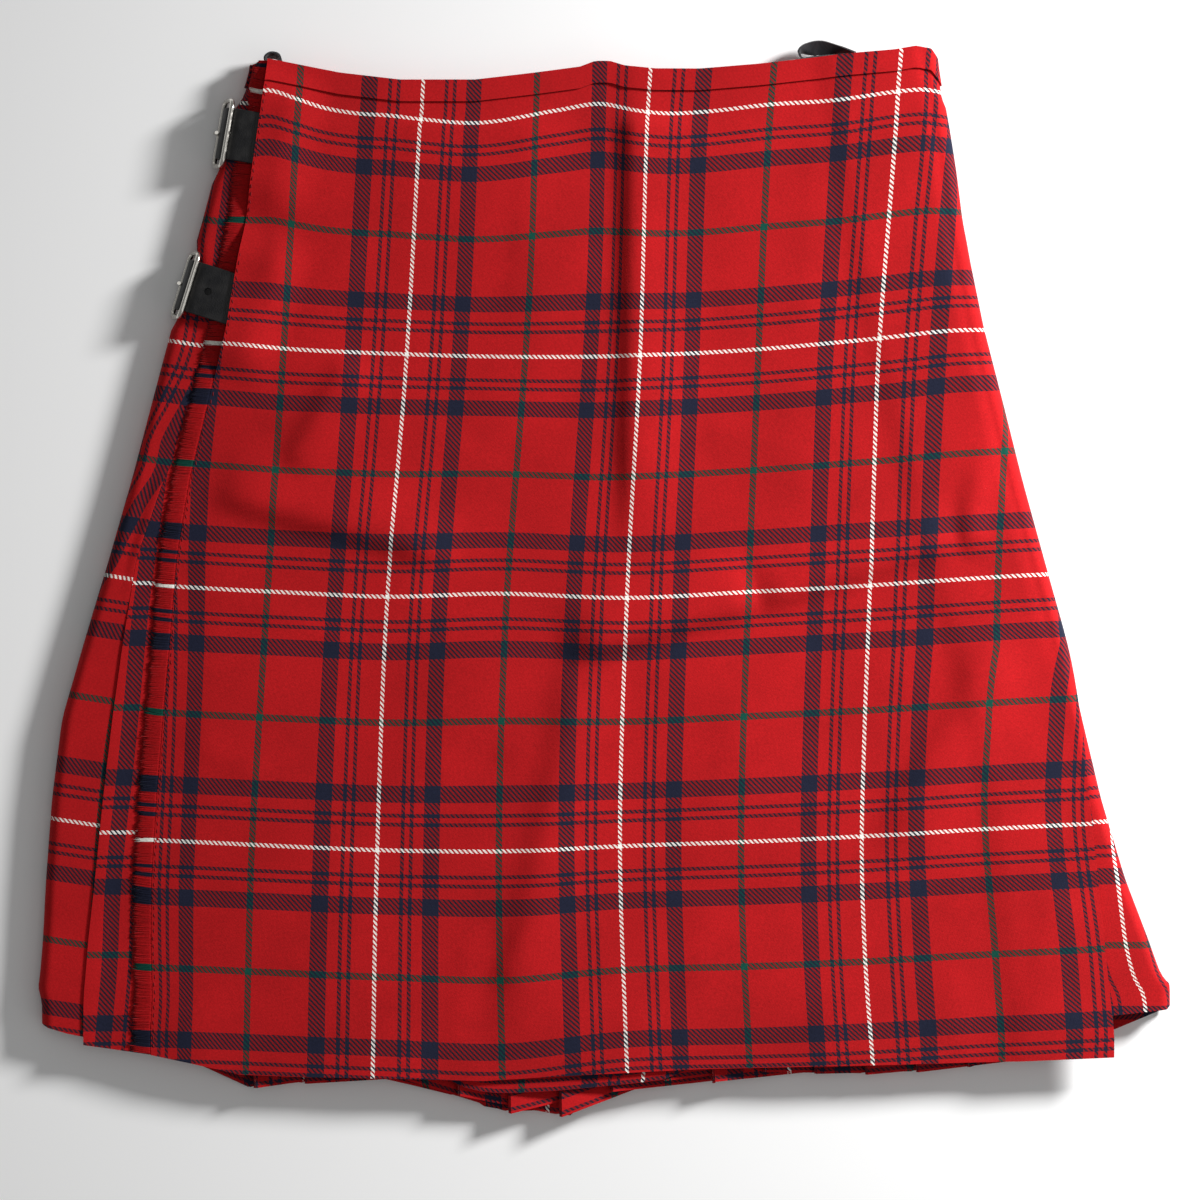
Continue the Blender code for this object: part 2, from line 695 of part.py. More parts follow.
def frame_outline():
    """A rounded rectangle: the part of the way from bar to bar, and the way across."""
    outer = polar(*OUTER_BAR)
    near = polar(*NEAR_BAR)
    depth = math.hypot(outer[0] - near[0], outer[1] - near[1])
    half = FRAME_LENGTH / 2 - FRAME_WIRE
    corners = (
        (depth - FRAME_CORNER, half - FRAME_CORNER, 0.0),
        (FRAME_CORNER, half - FRAME_CORNER, 90.0),
        (FRAME_CORNER, FRAME_CORNER - half, 180.0),
        (depth - FRAME_CORNER, FRAME_CORNER - half, 270.0),
    )
    points = []
    for along, across, start in corners:
        for step in range(5):
            angle = math.radians(start + 22.5 * step)
            reach = along + FRAME_CORNER * math.cos(angle)
            side = across + FRAME_CORNER * math.sin(angle)
            points.append((reach / depth, side))
    return outer, near, points


def build_buckles(steel, collection):
    outer, near, outline = frame_outline()
    half = FRAME_LENGTH / 2 - 2.0 * FRAME_WIRE - SEAM
    for strap in STRAP_ROWS:
        place = strap_place(strap)
        ring = []
        for part, across in outline:
            along = outer[0] + (near[0] - outer[0]) * part
            ring.append(place(along, across, outer[1] + (near[1] - outer[1]) * part))
        tube("buckle_" + strap.name + "_frame", ring, FRAME_WIRE, True, steel, collection)
        along, z = polar(*HINGE_BAR)
        hinge = [place(along, across, z) for across in (-half, half)]
        tube("buckle_" + strap.name + "_bar", hinge, HINGE_WIRE, False, steel, collection)
        route = [polar(*spot) for spot in PRONG_ROUTE]
        prong = [place(along, 0.0, z) for along, z in route]
        tube("buckle_" + strap.name + "_prong", prong, PRONG_WIRE, False, steel, collection)


def build_hanger_loops(ribbon, collection):
    for name, path in (("hanger_loop_right", RIGHT_LOOP), ("hanger_loop_left", LEFT_LOOP)):
        rows = [[(x, y, z) for z in (LOOP_BOTTOM, LOOP_TOP)] for x, y in path]
        sheet(name, rows, ribbon, collection, RIBBON)


def build():
    clear_scene()
    collection = new_collection("scottish_kilt")
    cutters = new_collection("cutters")
    red = new_material("tartan_red", CLOTH_RED, 0.85)
    blue = new_material("tartan_navy", CLOTH_BLUE, 0.85)
    leather = new_material("black_leather", LEATHER_BLACK, 0.4)
    steel = new_material("plated_steel", STEEL, 0.2, 1.0)
    build_cloth(red, blue, collection)
    build_waistbands(red, collection)
    build_fringe(red, collection)
    build_straps(leather, collection, cutters)
    build_buckles(steel, collection)
    build_hanger_loops(leather, collection)


build()
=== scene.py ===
"""A tartan kilt laid flat on its knife-pleated back, seen from straight above.

Sizes are in millimetres and become metres in each mesh. Every cloth piece is a thin
shell on the form of its solid, with the tartan laid on it along its own threads.
"""

import math
from collections import namedtuple
from functools import lru_cache

import bpy
import numpy as np
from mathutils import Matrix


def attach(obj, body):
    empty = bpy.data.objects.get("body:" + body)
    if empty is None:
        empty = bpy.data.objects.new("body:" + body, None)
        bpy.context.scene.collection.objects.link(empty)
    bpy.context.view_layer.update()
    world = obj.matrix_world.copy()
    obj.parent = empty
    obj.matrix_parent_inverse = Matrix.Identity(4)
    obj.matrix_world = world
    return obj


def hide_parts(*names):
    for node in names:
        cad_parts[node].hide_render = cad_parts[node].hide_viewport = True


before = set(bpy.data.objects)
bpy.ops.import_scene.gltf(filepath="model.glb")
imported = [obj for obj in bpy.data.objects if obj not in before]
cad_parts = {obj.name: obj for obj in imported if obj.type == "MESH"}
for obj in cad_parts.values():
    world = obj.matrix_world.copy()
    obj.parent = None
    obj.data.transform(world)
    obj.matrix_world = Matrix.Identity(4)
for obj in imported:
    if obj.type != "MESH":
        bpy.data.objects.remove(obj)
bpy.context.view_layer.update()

# The knife-pleated back. It is one long width of kilting wool folded into pleats that
# all face the same way, stitched down at the waist and pressed to the hem. The kilt lies
# on it, so its faces are flat on the floor and its folds are stacked inside.

MM = 0.001
CLOTH = 1.2
SHELL = 1.1
SEAM = 0.3
LAYER = CLOTH + SEAM
STACK_TOP = 13.2
FLOOR_LEVEL = CLOTH / 2
UNDER_LEVEL = STACK_TOP + SEAM + CLOTH / 2
APRON_LEVEL = UNDER_LEVEL + LAYER
SIDE_RADIUS = (UNDER_LEVEL - FLOOR_LEVEL) / 2
SIDE_CENTRE = (UNDER_LEVEL + FLOOR_LEVEL) / 2
APRON_RADIUS = APRON_LEVEL - SIDE_CENTRE
PLEATS = 20
PLEAT_PITCH = 2.1
PLEAT_DEPTH = 1.85
BAND_DEPTH = 1.15
SIDE_STRIP = 33.0
BAND_WIDTH = 13.0
BAND_RAISE = CLOTH + SEAM
END_CLEARANCE = 9.0
STRIP_STEP = 3.0
PLEAT_REST = 0.1
FOLD_SETBACK = 1.6
PLEAT_RAMP = 3.0
TOP_LEVEL = 311.0
HEM_LEVEL = -290.0

# Repeat of the tartan, and the repeats counted from the first white line below the
# waist down to the top edge and the hem
SETT = 146.0
TOP_SETT = -0.17
HEM_SETT = 3.88
PLEAT_SETT = 0.142
# The two pleats that show below the front hem, and the part of a repeat that each is
# shifted by, so that what shows of them is mostly plain red
PEEK_SHIFTS = {10: 0.42, 11: 0.22}

# Outline of the laid kilt, a row for each height: the left side, the fold between
# the two left pleats, the left and right edges of the over apron, the right side
Section = namedtuple("Section", "y left pleat_line apron_left apron_right right")
SECTION_ROWS = (
    Section(311.0, -213.0, -190.0, -201.6, 201.0, 201.0),
    Section(298.0, -216.5, -192.2, -203.2, 203.4, 203.4),
    Section(288.0, -220.6, -194.0, -204.6, 205.5, 205.5),
    Section(284.0, -222.4, -194.6, -205.1, 206.1, 206.1),
    Section(246.0, -230.6, -201.2, -210.6, 212.1, 212.1),
    Section(241.0, -235.0, -202.1, -211.3, 212.8, 212.8),
    Section(215.0, -241.8, -206.5, -214.6, 216.0, 216.0),
    Section(198.0, -246.8, -209.5, -218.0, 219.4, 219.4),
    Section(194.0, -243.2, -210.1, -218.8, 219.9, 219.9),
    Section(158.5, -254.3, -216.3, -224.9, 227.2, 227.2),
    Section(153.0, -259.6, -217.2, -225.4, 228.2, 228.2),
    Section(107.0, -271.8, -242.4, -236.9, 240.0, 240.0),
    Section(59.0, -284.4, -264.3, -248.4, 252.0, 252.0),
    Section(11.0, -298.2, -280.8, -256.2, 265.2, 265.2),
    Section(-37.0, -312.6, -288.6, -260.1, 277.2, 277.2),
    Section(-85.0, -326.4, -295.2, -264.4, 286.2, 288.0),
    Section(-133.0, -332.4, -300.8, -268.2, 291.0, 299.4),
    Section(-181.0, -336.0, -305.6, -271.2, 296.1, 313.8),
    Section(-217.0, -337.8, -309.6, -271.4, 299.8, 327.6),
    Section(-253.0, -340.8, -312.4, -270.7, 303.2, 340.2),
    Section(-275.0, -338.4, -312.6, -271.8, 305.6, 340.8),
)
SECTION_HEIGHTS = [row.y for row in SECTION_ROWS][::-1]
SECTION_SMOOTHING = 4.0

# Cut edges: the height of each edge, by its distance from the middle
TOP_EDGE = (
    (-213.6, 309.0), (-201.6, 311.4), (-192.0, 309.6), (-158.4, 303.0), (-122.4, 298.8),
    (-77.4, 298.8), (-41.4, 303.0), (-14.4, 306.6), (-5.4, 310.0), (3.6, 310.0),
    (12.6, 307.2), (30.6, 305.4), (57.6, 305.4), (93.6, 308.4), (147.6, 314.4),
    (174.6, 316.8), (187.0, 319.0), (196.0, 317.6), (203.4, 308.4),
)
BACK_HEM = (
    (-330.0, -267.0), (-300.0, -274.0), (-224.0, -290.0), (-216.0, -307.0), (-157.0, -302.0),
    (-148.0, -297.0), (-112.0, -303.0), (-96.0, -312.0), (-84.0, -311.0), (-72.0, -319.2),
    (-54.0, -322.0), (-41.0, -321.4), (-14.0, -325.45), (-9.0, -309.0), (21.0, -308.2),
    (34.0, -302.0), (66.0, -303.6), (74.0, -296.0), (150.0, -298.6), (182.0, -297.6),
    (247.0, -291.0), (256.0, -280.0), (300.0, -274.0),
)
STRIP_HEIGHTS = (-275.0, -181.0, -37.0, 107.0, 276.0, 295.0, 311.0)


def smooth_step(start, end, value):
    part = np.clip((value - start) / (end - start), 0.0, 1.0)
    return part * part * (3.0 - 2.0 * part)


@lru_cache(maxsize=None)
def section(name, y):
    """A width of the outline table at a height, with the corners between its rows eased."""
    widths = [getattr(row, name) for row in SECTION_ROWS][::-1]
    near = (y - SECTION_SMOOTHING, y, y + SECTION_SMOOTHING)
    return float(np.mean(np.interp(near, SECTION_HEIGHTS, widths)))


def edge_height(edge, x):
    return np.interp(x, [point[0] for point in edge], [point[1] for point in edge])


def band_raise(y):
    """How far the cloth is drawn in at the waist to leave room for the band outside it."""
    return float(BAND_RAISE * smooth_step(284.0, 292.0, y))


@lru_cache(maxsize=None)
def strip_edge(name, y):
    """Where a side's cloth ends on the floor and the first or last pleat face begins."""
    inward = 1.0 if name == "left" else -1.0
    edges = [section(name, height) + inward * SIDE_STRIP for height in STRIP_HEIGHTS]
    return float(np.interp(y, STRIP_HEIGHTS, edges))


def flowing(value, places, levels):
    """A smooth curve through the levels at rising places, straight on past both ends."""
    places = np.asarray(places, float)
    levels = np.asarray(levels, float)
    slopes = np.diff(levels) / np.diff(places)
    tangents = np.concatenate([slopes[:1], (slopes[1:] + slopes[:-1]) / 2, slopes[-1:]])
    span = np.clip(np.searchsorted(places, value) - 1, 0, len(slopes) - 1)
    width = places[span + 1] - places[span]
    part = (value - places[span]) / width
    t = np.clip(part, 0.0, 1.0)
    curve = levels[span] * (1 + 2 * t) * (1 - t) ** 2 + levels[span + 1] * t * t * (3 - 2 * t)
    curve += width * t * (1 - t) * (tangents[span] * (1 - t) - tangents[span + 1] * t)
    return curve + (part - t) * width * np.where(part < 0.0, tangents[0], tangents[-1])


def arc(centre_x, centre_z, radius, start, end, count):
    """Points on a circle, with angles in degrees from straight up, positive to the right."""
    angles = np.radians(np.linspace(start, end, count))
    return [(centre_x + radius * math.sin(a), centre_z + radius * math.cos(a)) for a in angles]


def run_between(start, end, count):
    """Even points from one to another, without the first."""
    parts = np.linspace(0.0, 1.0, count + 1)[1:]
    return [(start[0] + (end[0] - start[0]) * p, start[1] + (end[1] - start[1]) * p) for p in parts]


def distances(line):
    """Distance along a line of points, from its first."""
    steps = np.hypot(*np.diff(np.asarray(line, float), axis=0).T)
    return np.concatenate([[0.0], np.cumsum(steps)])


def hang(heights, profile, top_edge, hem_edge):
    """Rows of points from the hem up, whose end rows follow the cut edges."""
    rows = []
    for y in heights[::-1]:
        x, z = np.array(profile(y), float).T
        up = (top_edge(x) - TOP_LEVEL) * smooth_step(266.0, 295.0, y)
        down = (hem_edge(x, z) - HEM_LEVEL) * smooth_step(-232.0, HEM_LEVEL, y)
        rows.append(np.stack([x, y + up + down, z], axis=1))
    return np.array(rows)


def cloth_shell(name, points, setts, thickness=SHELL):
    """A grid laid through rows of points, hem row first, that carries its thread places
    in a UV map, one unit a repeat, and is given a wall of even thickness."""
    lines, columns = points.shape[:2]
    bpy.ops.object.select_all(action="DESELECT")
    bpy.ops.mesh.primitive_grid_add(x_subdivisions=columns - 1, y_subdivisions=lines - 1)
    obj = bpy.context.object
    obj.name = name
    obj.data.vertices.foreach_set("co", (points * MM).ravel())
    corners = np.empty(len(obj.data.loops), np.int32)
    obj.data.loops.foreach_get("vertex_index", corners)
    layer = obj.data.uv_layers[0]
    layer.name = "Threads"
    layer.data.foreach_set("uv", setts.reshape(-1, 2)[corners].ravel())
    wall = obj.modifiers.new("Wall", "SOLIDIFY")
    wall.thickness = thickness * MM
    wall.offset = 0.0
    wall.use_even_offset = True
    bpy.ops.object.modifier_apply(modifier=wall.name)
    bpy.ops.object.shade_smooth_by_angle(angle=math.radians(50.0))
    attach(obj, "root")
    return obj


def srgb(code):
    """A hex colour as the linear values that a shader takes."""
    parts = [int(code[i : i + 2], 16) / 255.0 for i in (0, 2, 4)]
    return [c / 12.92 if c <= 0.04045 else ((c + 0.055) / 1.055) ** 2.4 for c in parts] + [1.0]


def add_node(tree, kind, settings=None, links=None):
    """Adds a shader node, sets its properties or sockets, and links other nodes to it."""
    made = tree.nodes.new(kind)
    for key, value in (settings or {}).items():
        if isinstance(key, str) and hasattr(made, key):
            setattr(made, key, value)
        else:
            made.inputs[key].default_value = value
    for key, source in (links or {}).items():
        tree.links.new(source, made.inputs[key])
    return made


def new_material(name):
    material = bpy.data.materials.new(name)
    material.use_nodes = True
    material.node_tree.nodes.clear()
    return material, material.node_tree


# Worsted kilting wool: yarn-dyed threads in a close 2 and 2 twill. The eye sees matt
# colour, fine diagonal ribs, a hatch of both colours where stripes cross, a little nap.
# Threads of half a repeat, from the middle of the white line to that of the green one
THREAD_COUNT = (
    ("white", 2.0), ("red", 22.0), ("navy", 4.0), ("red", 5.0), ("navy", 4.0), ("red", 11.0),
    ("navy", 17.0), ("red", 59.5), ("green", 3.5),
)
HALF_SETT_THREADS = sum(threads for _, threads in THREAD_COUNT)
YARN_COLOURS = {"white": "F4F2EA", "red": "AE1519", "navy": "1D2032", "green": "0F4A3E"}
# The real twill has 256 threads a repeat, 0.57 mm each. It is drawn with fewer, so that its
# ribs still show from above
TWILL_DRAWN = 200.0


def stripe_colour(tree, sett_place):
    """The yarn colour at a place in the repeat, which runs out from white and back."""
    folded = add_node(tree, "ShaderNodeMath", {"operation": "PINGPONG", 1: 0.5}, {0: sett_place})
    half = add_node(tree, "ShaderNodeMath", {"operation": "MULTIPLY", 1: 2.0},
                    {0: folded.outputs[0]})
    ramp = add_node(tree, "ShaderNodeValToRGB", links={"Fac": half.outputs[0]})
    ramp.color_ramp.interpolation = "CONSTANT"
    stops = ramp.color_ramp.elements
    count = 0.0
    for index, (colour, threads) in enumerate(THREAD_COUNT):
        place = count / HALF_SETT_THREADS
        stop = stops[index] if index < 2 else stops.new(place)
        stop.position = place
        stop.color = srgb(YARN_COLOURS[colour])
        count += threads
    return ramp.outputs["Color"]


def tartan_wool(name, woven=True):
    """Tartan from the cloth's own thread places, or only its weft colours for loose yarn."""
    material, tree = new_material(name)
    threads = add_node(tree, "ShaderNodeUVMap", {"uv_map": "Threads"})
    place = add_node(tree, "ShaderNodeSeparateXYZ", links={0: threads.outputs["UV"]})
    warp = stripe_colour(tree, place.outputs["X"])
    weft = stripe_colour(tree, place.outputs["Y"])
    counts = [
        add_node(tree, "ShaderNodeMath", {"operation": "MULTIPLY", 1: TWILL_DRAWN},
                 {0: place.outputs[axis]}).outputs[0]
        for axis in ("X", "Y")
    ]
    # Each weft thread passes over two warp threads, then under two, one step on each row
    ends = [
        add_node(tree, "ShaderNodeMath", {"operation": "FLOOR"}, {0: count}).outputs[0]
        for count in counts
    ]
    step = add_node(tree, "ShaderNodeMath", {"operation": "SUBTRACT"}, {0: ends[0], 1: ends[1]})
    turn = add_node(tree, "ShaderNodeMath", {"operation": "FLOORED_MODULO", 1: 4.0},
                    {0: step.outputs[0]})
    over = add_node(tree, "ShaderNodeMath", {"operation": "LESS_THAN", 1: 1.5},
                    {0: turn.outputs[0]})
    shown = add_node(tree, "ShaderNodeMix", {"data_type": "RGBA"},
                     {0: over.outputs[0], 6: warp, 7: weft})
    # Painted shade for the gaps beside crossing threads: deep where a dark thread crosses a red
    #     # one, none where a white one does
    dark = add_node(tree, "ShaderNodeMix", {"data_type": "RGBA", "blend_type": "DARKEN", 0: 1.0},
                    {6: warp, 7: weft})
    light = add_node(tree, "ShaderNodeMix", {"data_type": "RGBA", "blend_type": "LIGHTEN",
                                             0: 1.0}, {6: warp, 7: weft})
    tint = add_node(tree, "ShaderNodeSeparateColor", links={0: light.outputs[2]})
    gap_shade_share = add_node(tree, "ShaderNodeMapRange", {1: 0.2, 2: 0.6, 3: 0.42, 4: 0.08},
                       {0: tint.outputs["Green"]})
    painted_gap_shade = add_node(tree, "ShaderNodeMix", {"data_type": "RGBA"},
                       {0: gap_shade_share.outputs[0], 6: shown.outputs[2], 7: dark.outputs[2]})
    colour = painted_gap_shade.outputs[2] if woven else weft
    # Dye and nap vary a little, in patches a few centimetres wide and from fibre to fibre
    spot = add_node(tree, "ShaderNodeTexCoord").outputs["Object"]
    patches = add_node(tree, "ShaderNodeTexNoise", {"Scale": 26.0, "Detail": 3.0},
                       {"Vector": spot})
    fibres = add_node(tree, "ShaderNodeTexNoise", {"Scale": 900.0, "Detail": 2.0},
                      {"Vector": spot})
    patch_shade = add_node(tree, "ShaderNodeMapRange", {1: 0.3, 2: 0.7, 3: 0.90, 4: 1.10},
                           {0: patches.outputs["Fac"]})
    fibre_shade = add_node(tree, "ShaderNodeMapRange", {1: 0.25, 2: 0.75, 3: 0.84, 4: 1.14},
                           {0: fibres.outputs["Fac"]})
    shade = add_node(tree, "ShaderNodeMath", {"operation": "MULTIPLY"},
                     {0: patch_shade.outputs[0], 1: fibre_shade.outputs[0]})
    dyed_and_shaded = add_node(tree, "ShaderNodeVectorMath", {"operation": "SCALE"},
                    {0: colour, "Scale": shade.outputs[0]})
    # The roundness of each thread, raised where it passes over the others
    waves = [
        add_node(tree, "ShaderNodeMath", {"operation": "PINGPONG", 1: 0.5},
                 {0: count}).outputs[0]
        for count in counts
    ]
    thread = add_node(tree, "ShaderNodeMix", {"data_type": "FLOAT"},
                      {0: over.outputs[0], 2: waves[0], 3: waves[1]})
    rib = add_node(tree, "ShaderNodeBump", {"Strength": 0.4 if woven else 0.0, "Distance": 0.0003},
                   {"Height": thread.outputs[0]})
    shader = add_node(tree, "ShaderNodeBsdfPrincipled",
                      {"Roughness": 0.9, "Specular IOR Level": 0.1, "Sheen Weight": 0.03,
                       "Sheen Roughness": 0.5},
                      {"Base Color": dyed_and_shaded.outputs["Vector"], "Normal": rib.outputs["Normal"]})
    add_node(tree, "ShaderNodeOutputMaterial", links={"Surface": shader.outputs["BSDF"]})
    return material


kilting_wool = tartan_wool("kilting_wool_twill")


def pleat_profile(y):
    """Knife pleats from left to right, with each point's place across the tartan. Each
    pleat takes one repeat, so the faces and the layers behind them make it up again."""
    start = strip_edge("left", y) + SEAM
    end = strip_edge("right", y) - SEAM
    reveal = (end - start) / PLEATS
    hem_reveal = (strip_edge("right", -275.0) - strip_edge("left", -275.0)) / PLEATS / SETT
    lift = band_raise(y) + PLEAT_REST
    depth = reveal * (PLEAT_DEPTH + (BAND_DEPTH - PLEAT_DEPTH) * band_raise(y) / BAND_RAISE)
    limit = section("left", y) + END_CLEARANCE + lift
    slope = 2.0 * PLEAT_PITCH / reveal
    nose = PLEAT_PITCH / 2.0
    base = FLOOR_LEVEL + lift
    spots = []
    for index in range(PLEATS):
        left = start + index * reveal
        right = left + reveal - FOLD_SETBACK
        tuck = max(left - depth, limit)
        fold_sett = PLEAT_SETT + (index + 1) * hem_reveal + PEEK_SHIFTS.get(index, 0.0)

        def face(x, z, fold=left + reveal, sett=fold_sett):
            spots.append((x, z, sett - (fold - x) / SETT))

        if index > 0:
            face(tuck, base + 2.0 * PLEAT_PITCH + slope * (left - tuck))
        face(left, base + 2.0 * PLEAT_PITCH)
        face(left + 0.6 * PLEAT_RAMP, base + 0.75 * PLEAT_PITCH)
        face(left + 1.15 * PLEAT_RAMP, base + 0.06 * PLEAT_PITCH)
        face(left + 0.3 * reveal, base)
        face(left + 0.6 * reveal, base)
        face(right - 0.3, base)
        if index == PLEATS - 1:
            break
        for x, z in arc(right, base + nose, nose, 135.0, 45.0, 3):
            face(x, z)
        next_tuck = max(left + reveal - depth, limit)
        rise = slope * (left + reveal - next_tuck)
        for x, z in ((right, base + PLEAT_PITCH), (next_tuck, base + PLEAT_PITCH + rise)):
            spots.append((x, z, fold_sett + (left + reveal - x) / SETT))
        middle_sett = fold_sett + 0.5 * hem_reveal
        spots.append((next_tuck - nose, base + 1.5 * PLEAT_PITCH + rise, middle_sett))
    return spots


def down_setts(points, top_edge, hem_edge):
    """The place down the tartan, for a piece whose top edge and hem follow its threads."""
    x, y, z = np.moveaxis(points, 2, 0)
    top = top_edge(x)
    hem = hem_edge(x, z)
    return TOP_SETT + (HEM_SETT - TOP_SETT) * (top - y) / (top - hem)


def top_edge_below(drop):
    return lambda x: edge_height(TOP_EDGE, x) - drop


def hem_along(edge):
    return lambda x, z: edge_height(edge, x)


def even_heights(count):
    return tuple(np.linspace(TOP_LEVEL, HEM_LEVEL, count))


BAND_HEIGHTS = (295.0, 291.5, 288.0, 284.5)
BACK_HEIGHTS = tuple(sorted(set(even_heights(30) + BAND_HEIGHTS), reverse=True))
back_points = hang(BACK_HEIGHTS, lambda y: [spot[:2] for spot in pleat_profile(y)],
                   top_edge_below(1.0), hem_along(BACK_HEM))
back_across = np.array([[spot[2] for spot in pleat_profile(y)] for y in BACK_HEIGHTS[::-1]])
back_down = down_setts(back_points, top_edge_below(1.0), hem_along(BACK_HEM))
pleated_back = cloth_shell("pleated_back_cloth", back_points,
                           np.stack([back_across, back_down], axis=2))
pleated_back.data.materials.append(kilting_wool)
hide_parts("pleated_back")

# The outer left pleat. It is the end of the back's cloth, which rolls up round the left
# side and lies over towards the aprons. Its edge is a soft fold with a low raised lip.

LIP = 1.1
LEFT_HEM = ((-340.8, -266.0), (-334.0, -270.0), (-322.0, -273.6), (-312.6, -275.4))
# Where the broad navy stripe runs down the pleat, and the repeats down it
LEFT_STRIPE = (
    (-253.2, -346.8), (-193.2, -342.6), (-133.2, -338.4), (-73.2, -329.4), (-13.2, -307.2),
    (10.8, -295.2), (22.8, -290.4), (46.8, -277.2), (64.8, -265.2), (82.8, -261.0),
    (106.8, -248.4), (136.8, -235.8), (196.8, -229.2), (283.8, -217.0),
)
LEFT_REPEATS = (
    (-282.0, 3.94), (-218.4, 3.5), (-146.4, 3.0), (-72.0, 2.5), (0.6, 2.0), (70.8, 1.5),
    (139.8, 1.0), (213.0, 0.5), (283.8, 0.0),
)
LEFT_SLANT = 0.15
BROAD_STRIPE = 0.2205
LEFT_HEIGHTS = tuple(sorted(set(even_heights(90) + BAND_HEIGHTS), reverse=True))


def left_side_profile(y):
    """Along the floor, round the side, then over to the fold line."""
    left = section("left", y)
    centre = left + SIDE_RADIUS + CLOTH / 2
    drawn = band_raise(y) / 2
    middle = SIDE_CENTRE + drawn
    radius = SIDE_RADIUS - drawn
    line = section("pleat_line", y) - SEAM / 2
    lip = LIP * smooth_step(80.0, 50.0, y) * smooth_step(-25.0, 20.0, y)
    inner = strip_edge("left", y) - drawn * STRIP_STEP
    points = [(inner, middle - radius)]
    points += run_between(points[0], (left + 2.0 * SIDE_RADIUS, middle - radius), 4)
    points += arc(centre + drawn, middle, radius, 180.0, 360.0, 21)
    for part in np.linspace(0.0, 1.0, 15)[1:]:
        x = centre + drawn + (line - centre - drawn) * part
        points.append((x, UNDER_LEVEL + lip * float(smooth_step(0.4, 1.0, part))))
    return points


def place_on(target, run_x, run_distance):
    """Distance along a run at a place across, straight on past either end."""
    inside = np.clip(target, run_x[0], run_x[-1])
    return np.interp(inside, run_x, run_distance) + target - inside


def across_left(y):
    line = np.array(left_side_profile(y))
    along = distances(line)
    first = int(np.argmin(line[:, 0]))
    stripe = flowing(y, *zip(*LEFT_STRIPE))
    return BROAD_STRIPE + (along - place_on(stripe, line[first:, 0], along[first:])) / SETT


left_points = hang(LEFT_HEIGHTS, left_side_profile, top_edge_below(1.0), hem_along(LEFT_HEM))
left_across = np.array([across_left(y) for y in LEFT_HEIGHTS[::-1]])
left_middle = np.array(
    [[(section("left", y) + section("pleat_line", y)) / 2] for y in LEFT_HEIGHTS[::-1]]
)
left_slanted = left_points[:, :, 1] + LEFT_SLANT * (left_points[:, :, 0] - left_middle)
left_down = flowing(left_slanted, *zip(*LEFT_REPEATS))
left_side = cloth_shell("left_side_cloth", left_points, np.stack([left_across, left_down], axis=2))
left_side.data.materials.append(kilting_wool)
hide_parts("left_side_pleat")

# The right side. The back's cloth rolls up round the right side into one deep pleat that
# lies folded under the over apron, and shows below as a flare beside its free edge.

WRAP_BOTTOM = -85.0
WRAP_TOP = 20.0
DEEP_FOLD = 48.0
EDGE_COVER = 7.0
ROLLED_COVER = 19.4
RIGHT_TOP_HEM = ((240.0, -262.0), (305.0, -262.8), (338.0, -259.2), (341.0, -254.0))
RIGHT_FLOOR_HEM = ((300.0, -276.0), (340.8, -259.0))
# Where the white line runs down the flare
RIGHT_LINE = (
    (-290.0, 325.2), (-272.0, 323.4), (-254.4, 321.0), (-238.8, 317.6), (-222.0, 313.6),
    (-202.2, 310.8), (-183.0, 308.4),
    (-163.2, 305.4), (-146.4, 303.6), (-137.4, 301.8), (-85.0, 290.0), (0.0, 275.0),
    (200.0, 225.0), (300.0, 208.0),
)
RIGHT_THIRD_LINE = -146.4
RIGHT_REPEAT = 148.0


def wrap_part(y):
    """One where the apron rolls round the right side, none where its edge lies free."""
    return float(smooth_step(WRAP_BOTTOM, WRAP_TOP, y))


def right_centre(y):
    """The middle of the rolled right side, which the over apron wraps in its upper part."""
    wrapped = section("right", y) - APRON_RADIUS - CLOTH / 2
    bare = section("right", y) - SIDE_RADIUS - CLOTH / 2
    return bare + (wrapped - bare) * wrap_part(y) - band_raise(y) / 2


def right_fold(y):
    return min(section("apron_right", y), right_centre(y)) - DEEP_FOLD


def right_side_profile(y):
    """Back under the apron, then out, round the side and down."""
    centre = right_centre(y)
    fold = right_fold(y)
    cover = EDGE_COVER + (ROLLED_COVER - EDGE_COVER) * wrap_part(y)
    start = section("apron_right", y) - cover
    drawn = band_raise(y) / 2
    middle = SIDE_CENTRE + drawn
    radius = SIDE_RADIUS - drawn
    points = [(start, APRON_LEVEL)]
    points += run_between(points[0], (fold, APRON_LEVEL), 4)
    points += arc(fold, (APRON_LEVEL + UNDER_LEVEL) / 2, -LAYER / 2, 135.0, 45.0, 3)
    points.append((fold, UNDER_LEVEL))
    points += run_between(points[-1], (centre, UNDER_LEVEL), 12)
    points += arc(centre, middle, radius, 9.0, 180.0, 20)
    points += run_between(points[-1], (strip_edge("right", y) + drawn * STRIP_STEP,
                                       middle - radius), 4)
    return points


def right_side_hem(x, z):
    top = edge_height(RIGHT_TOP_HEM, x)
    floor_part = smooth_step(UNDER_LEVEL - 2.0, FLOOR_LEVEL + 2.0, z)
    return top + (edge_height(RIGHT_FLOOR_HEM, x) - top) * floor_part


def across_right(y):
    line = np.array(right_side_profile(y))
    along = distances(line)
    first = int(np.argmin(line[:12, 0]))
    last = int(np.argmax(line[:, 0]))
    white = flowing(y, *zip(*RIGHT_LINE))
    run = slice(first, last + 1)
    return (along - place_on(white, line[run, 0], along[run])) / SETT


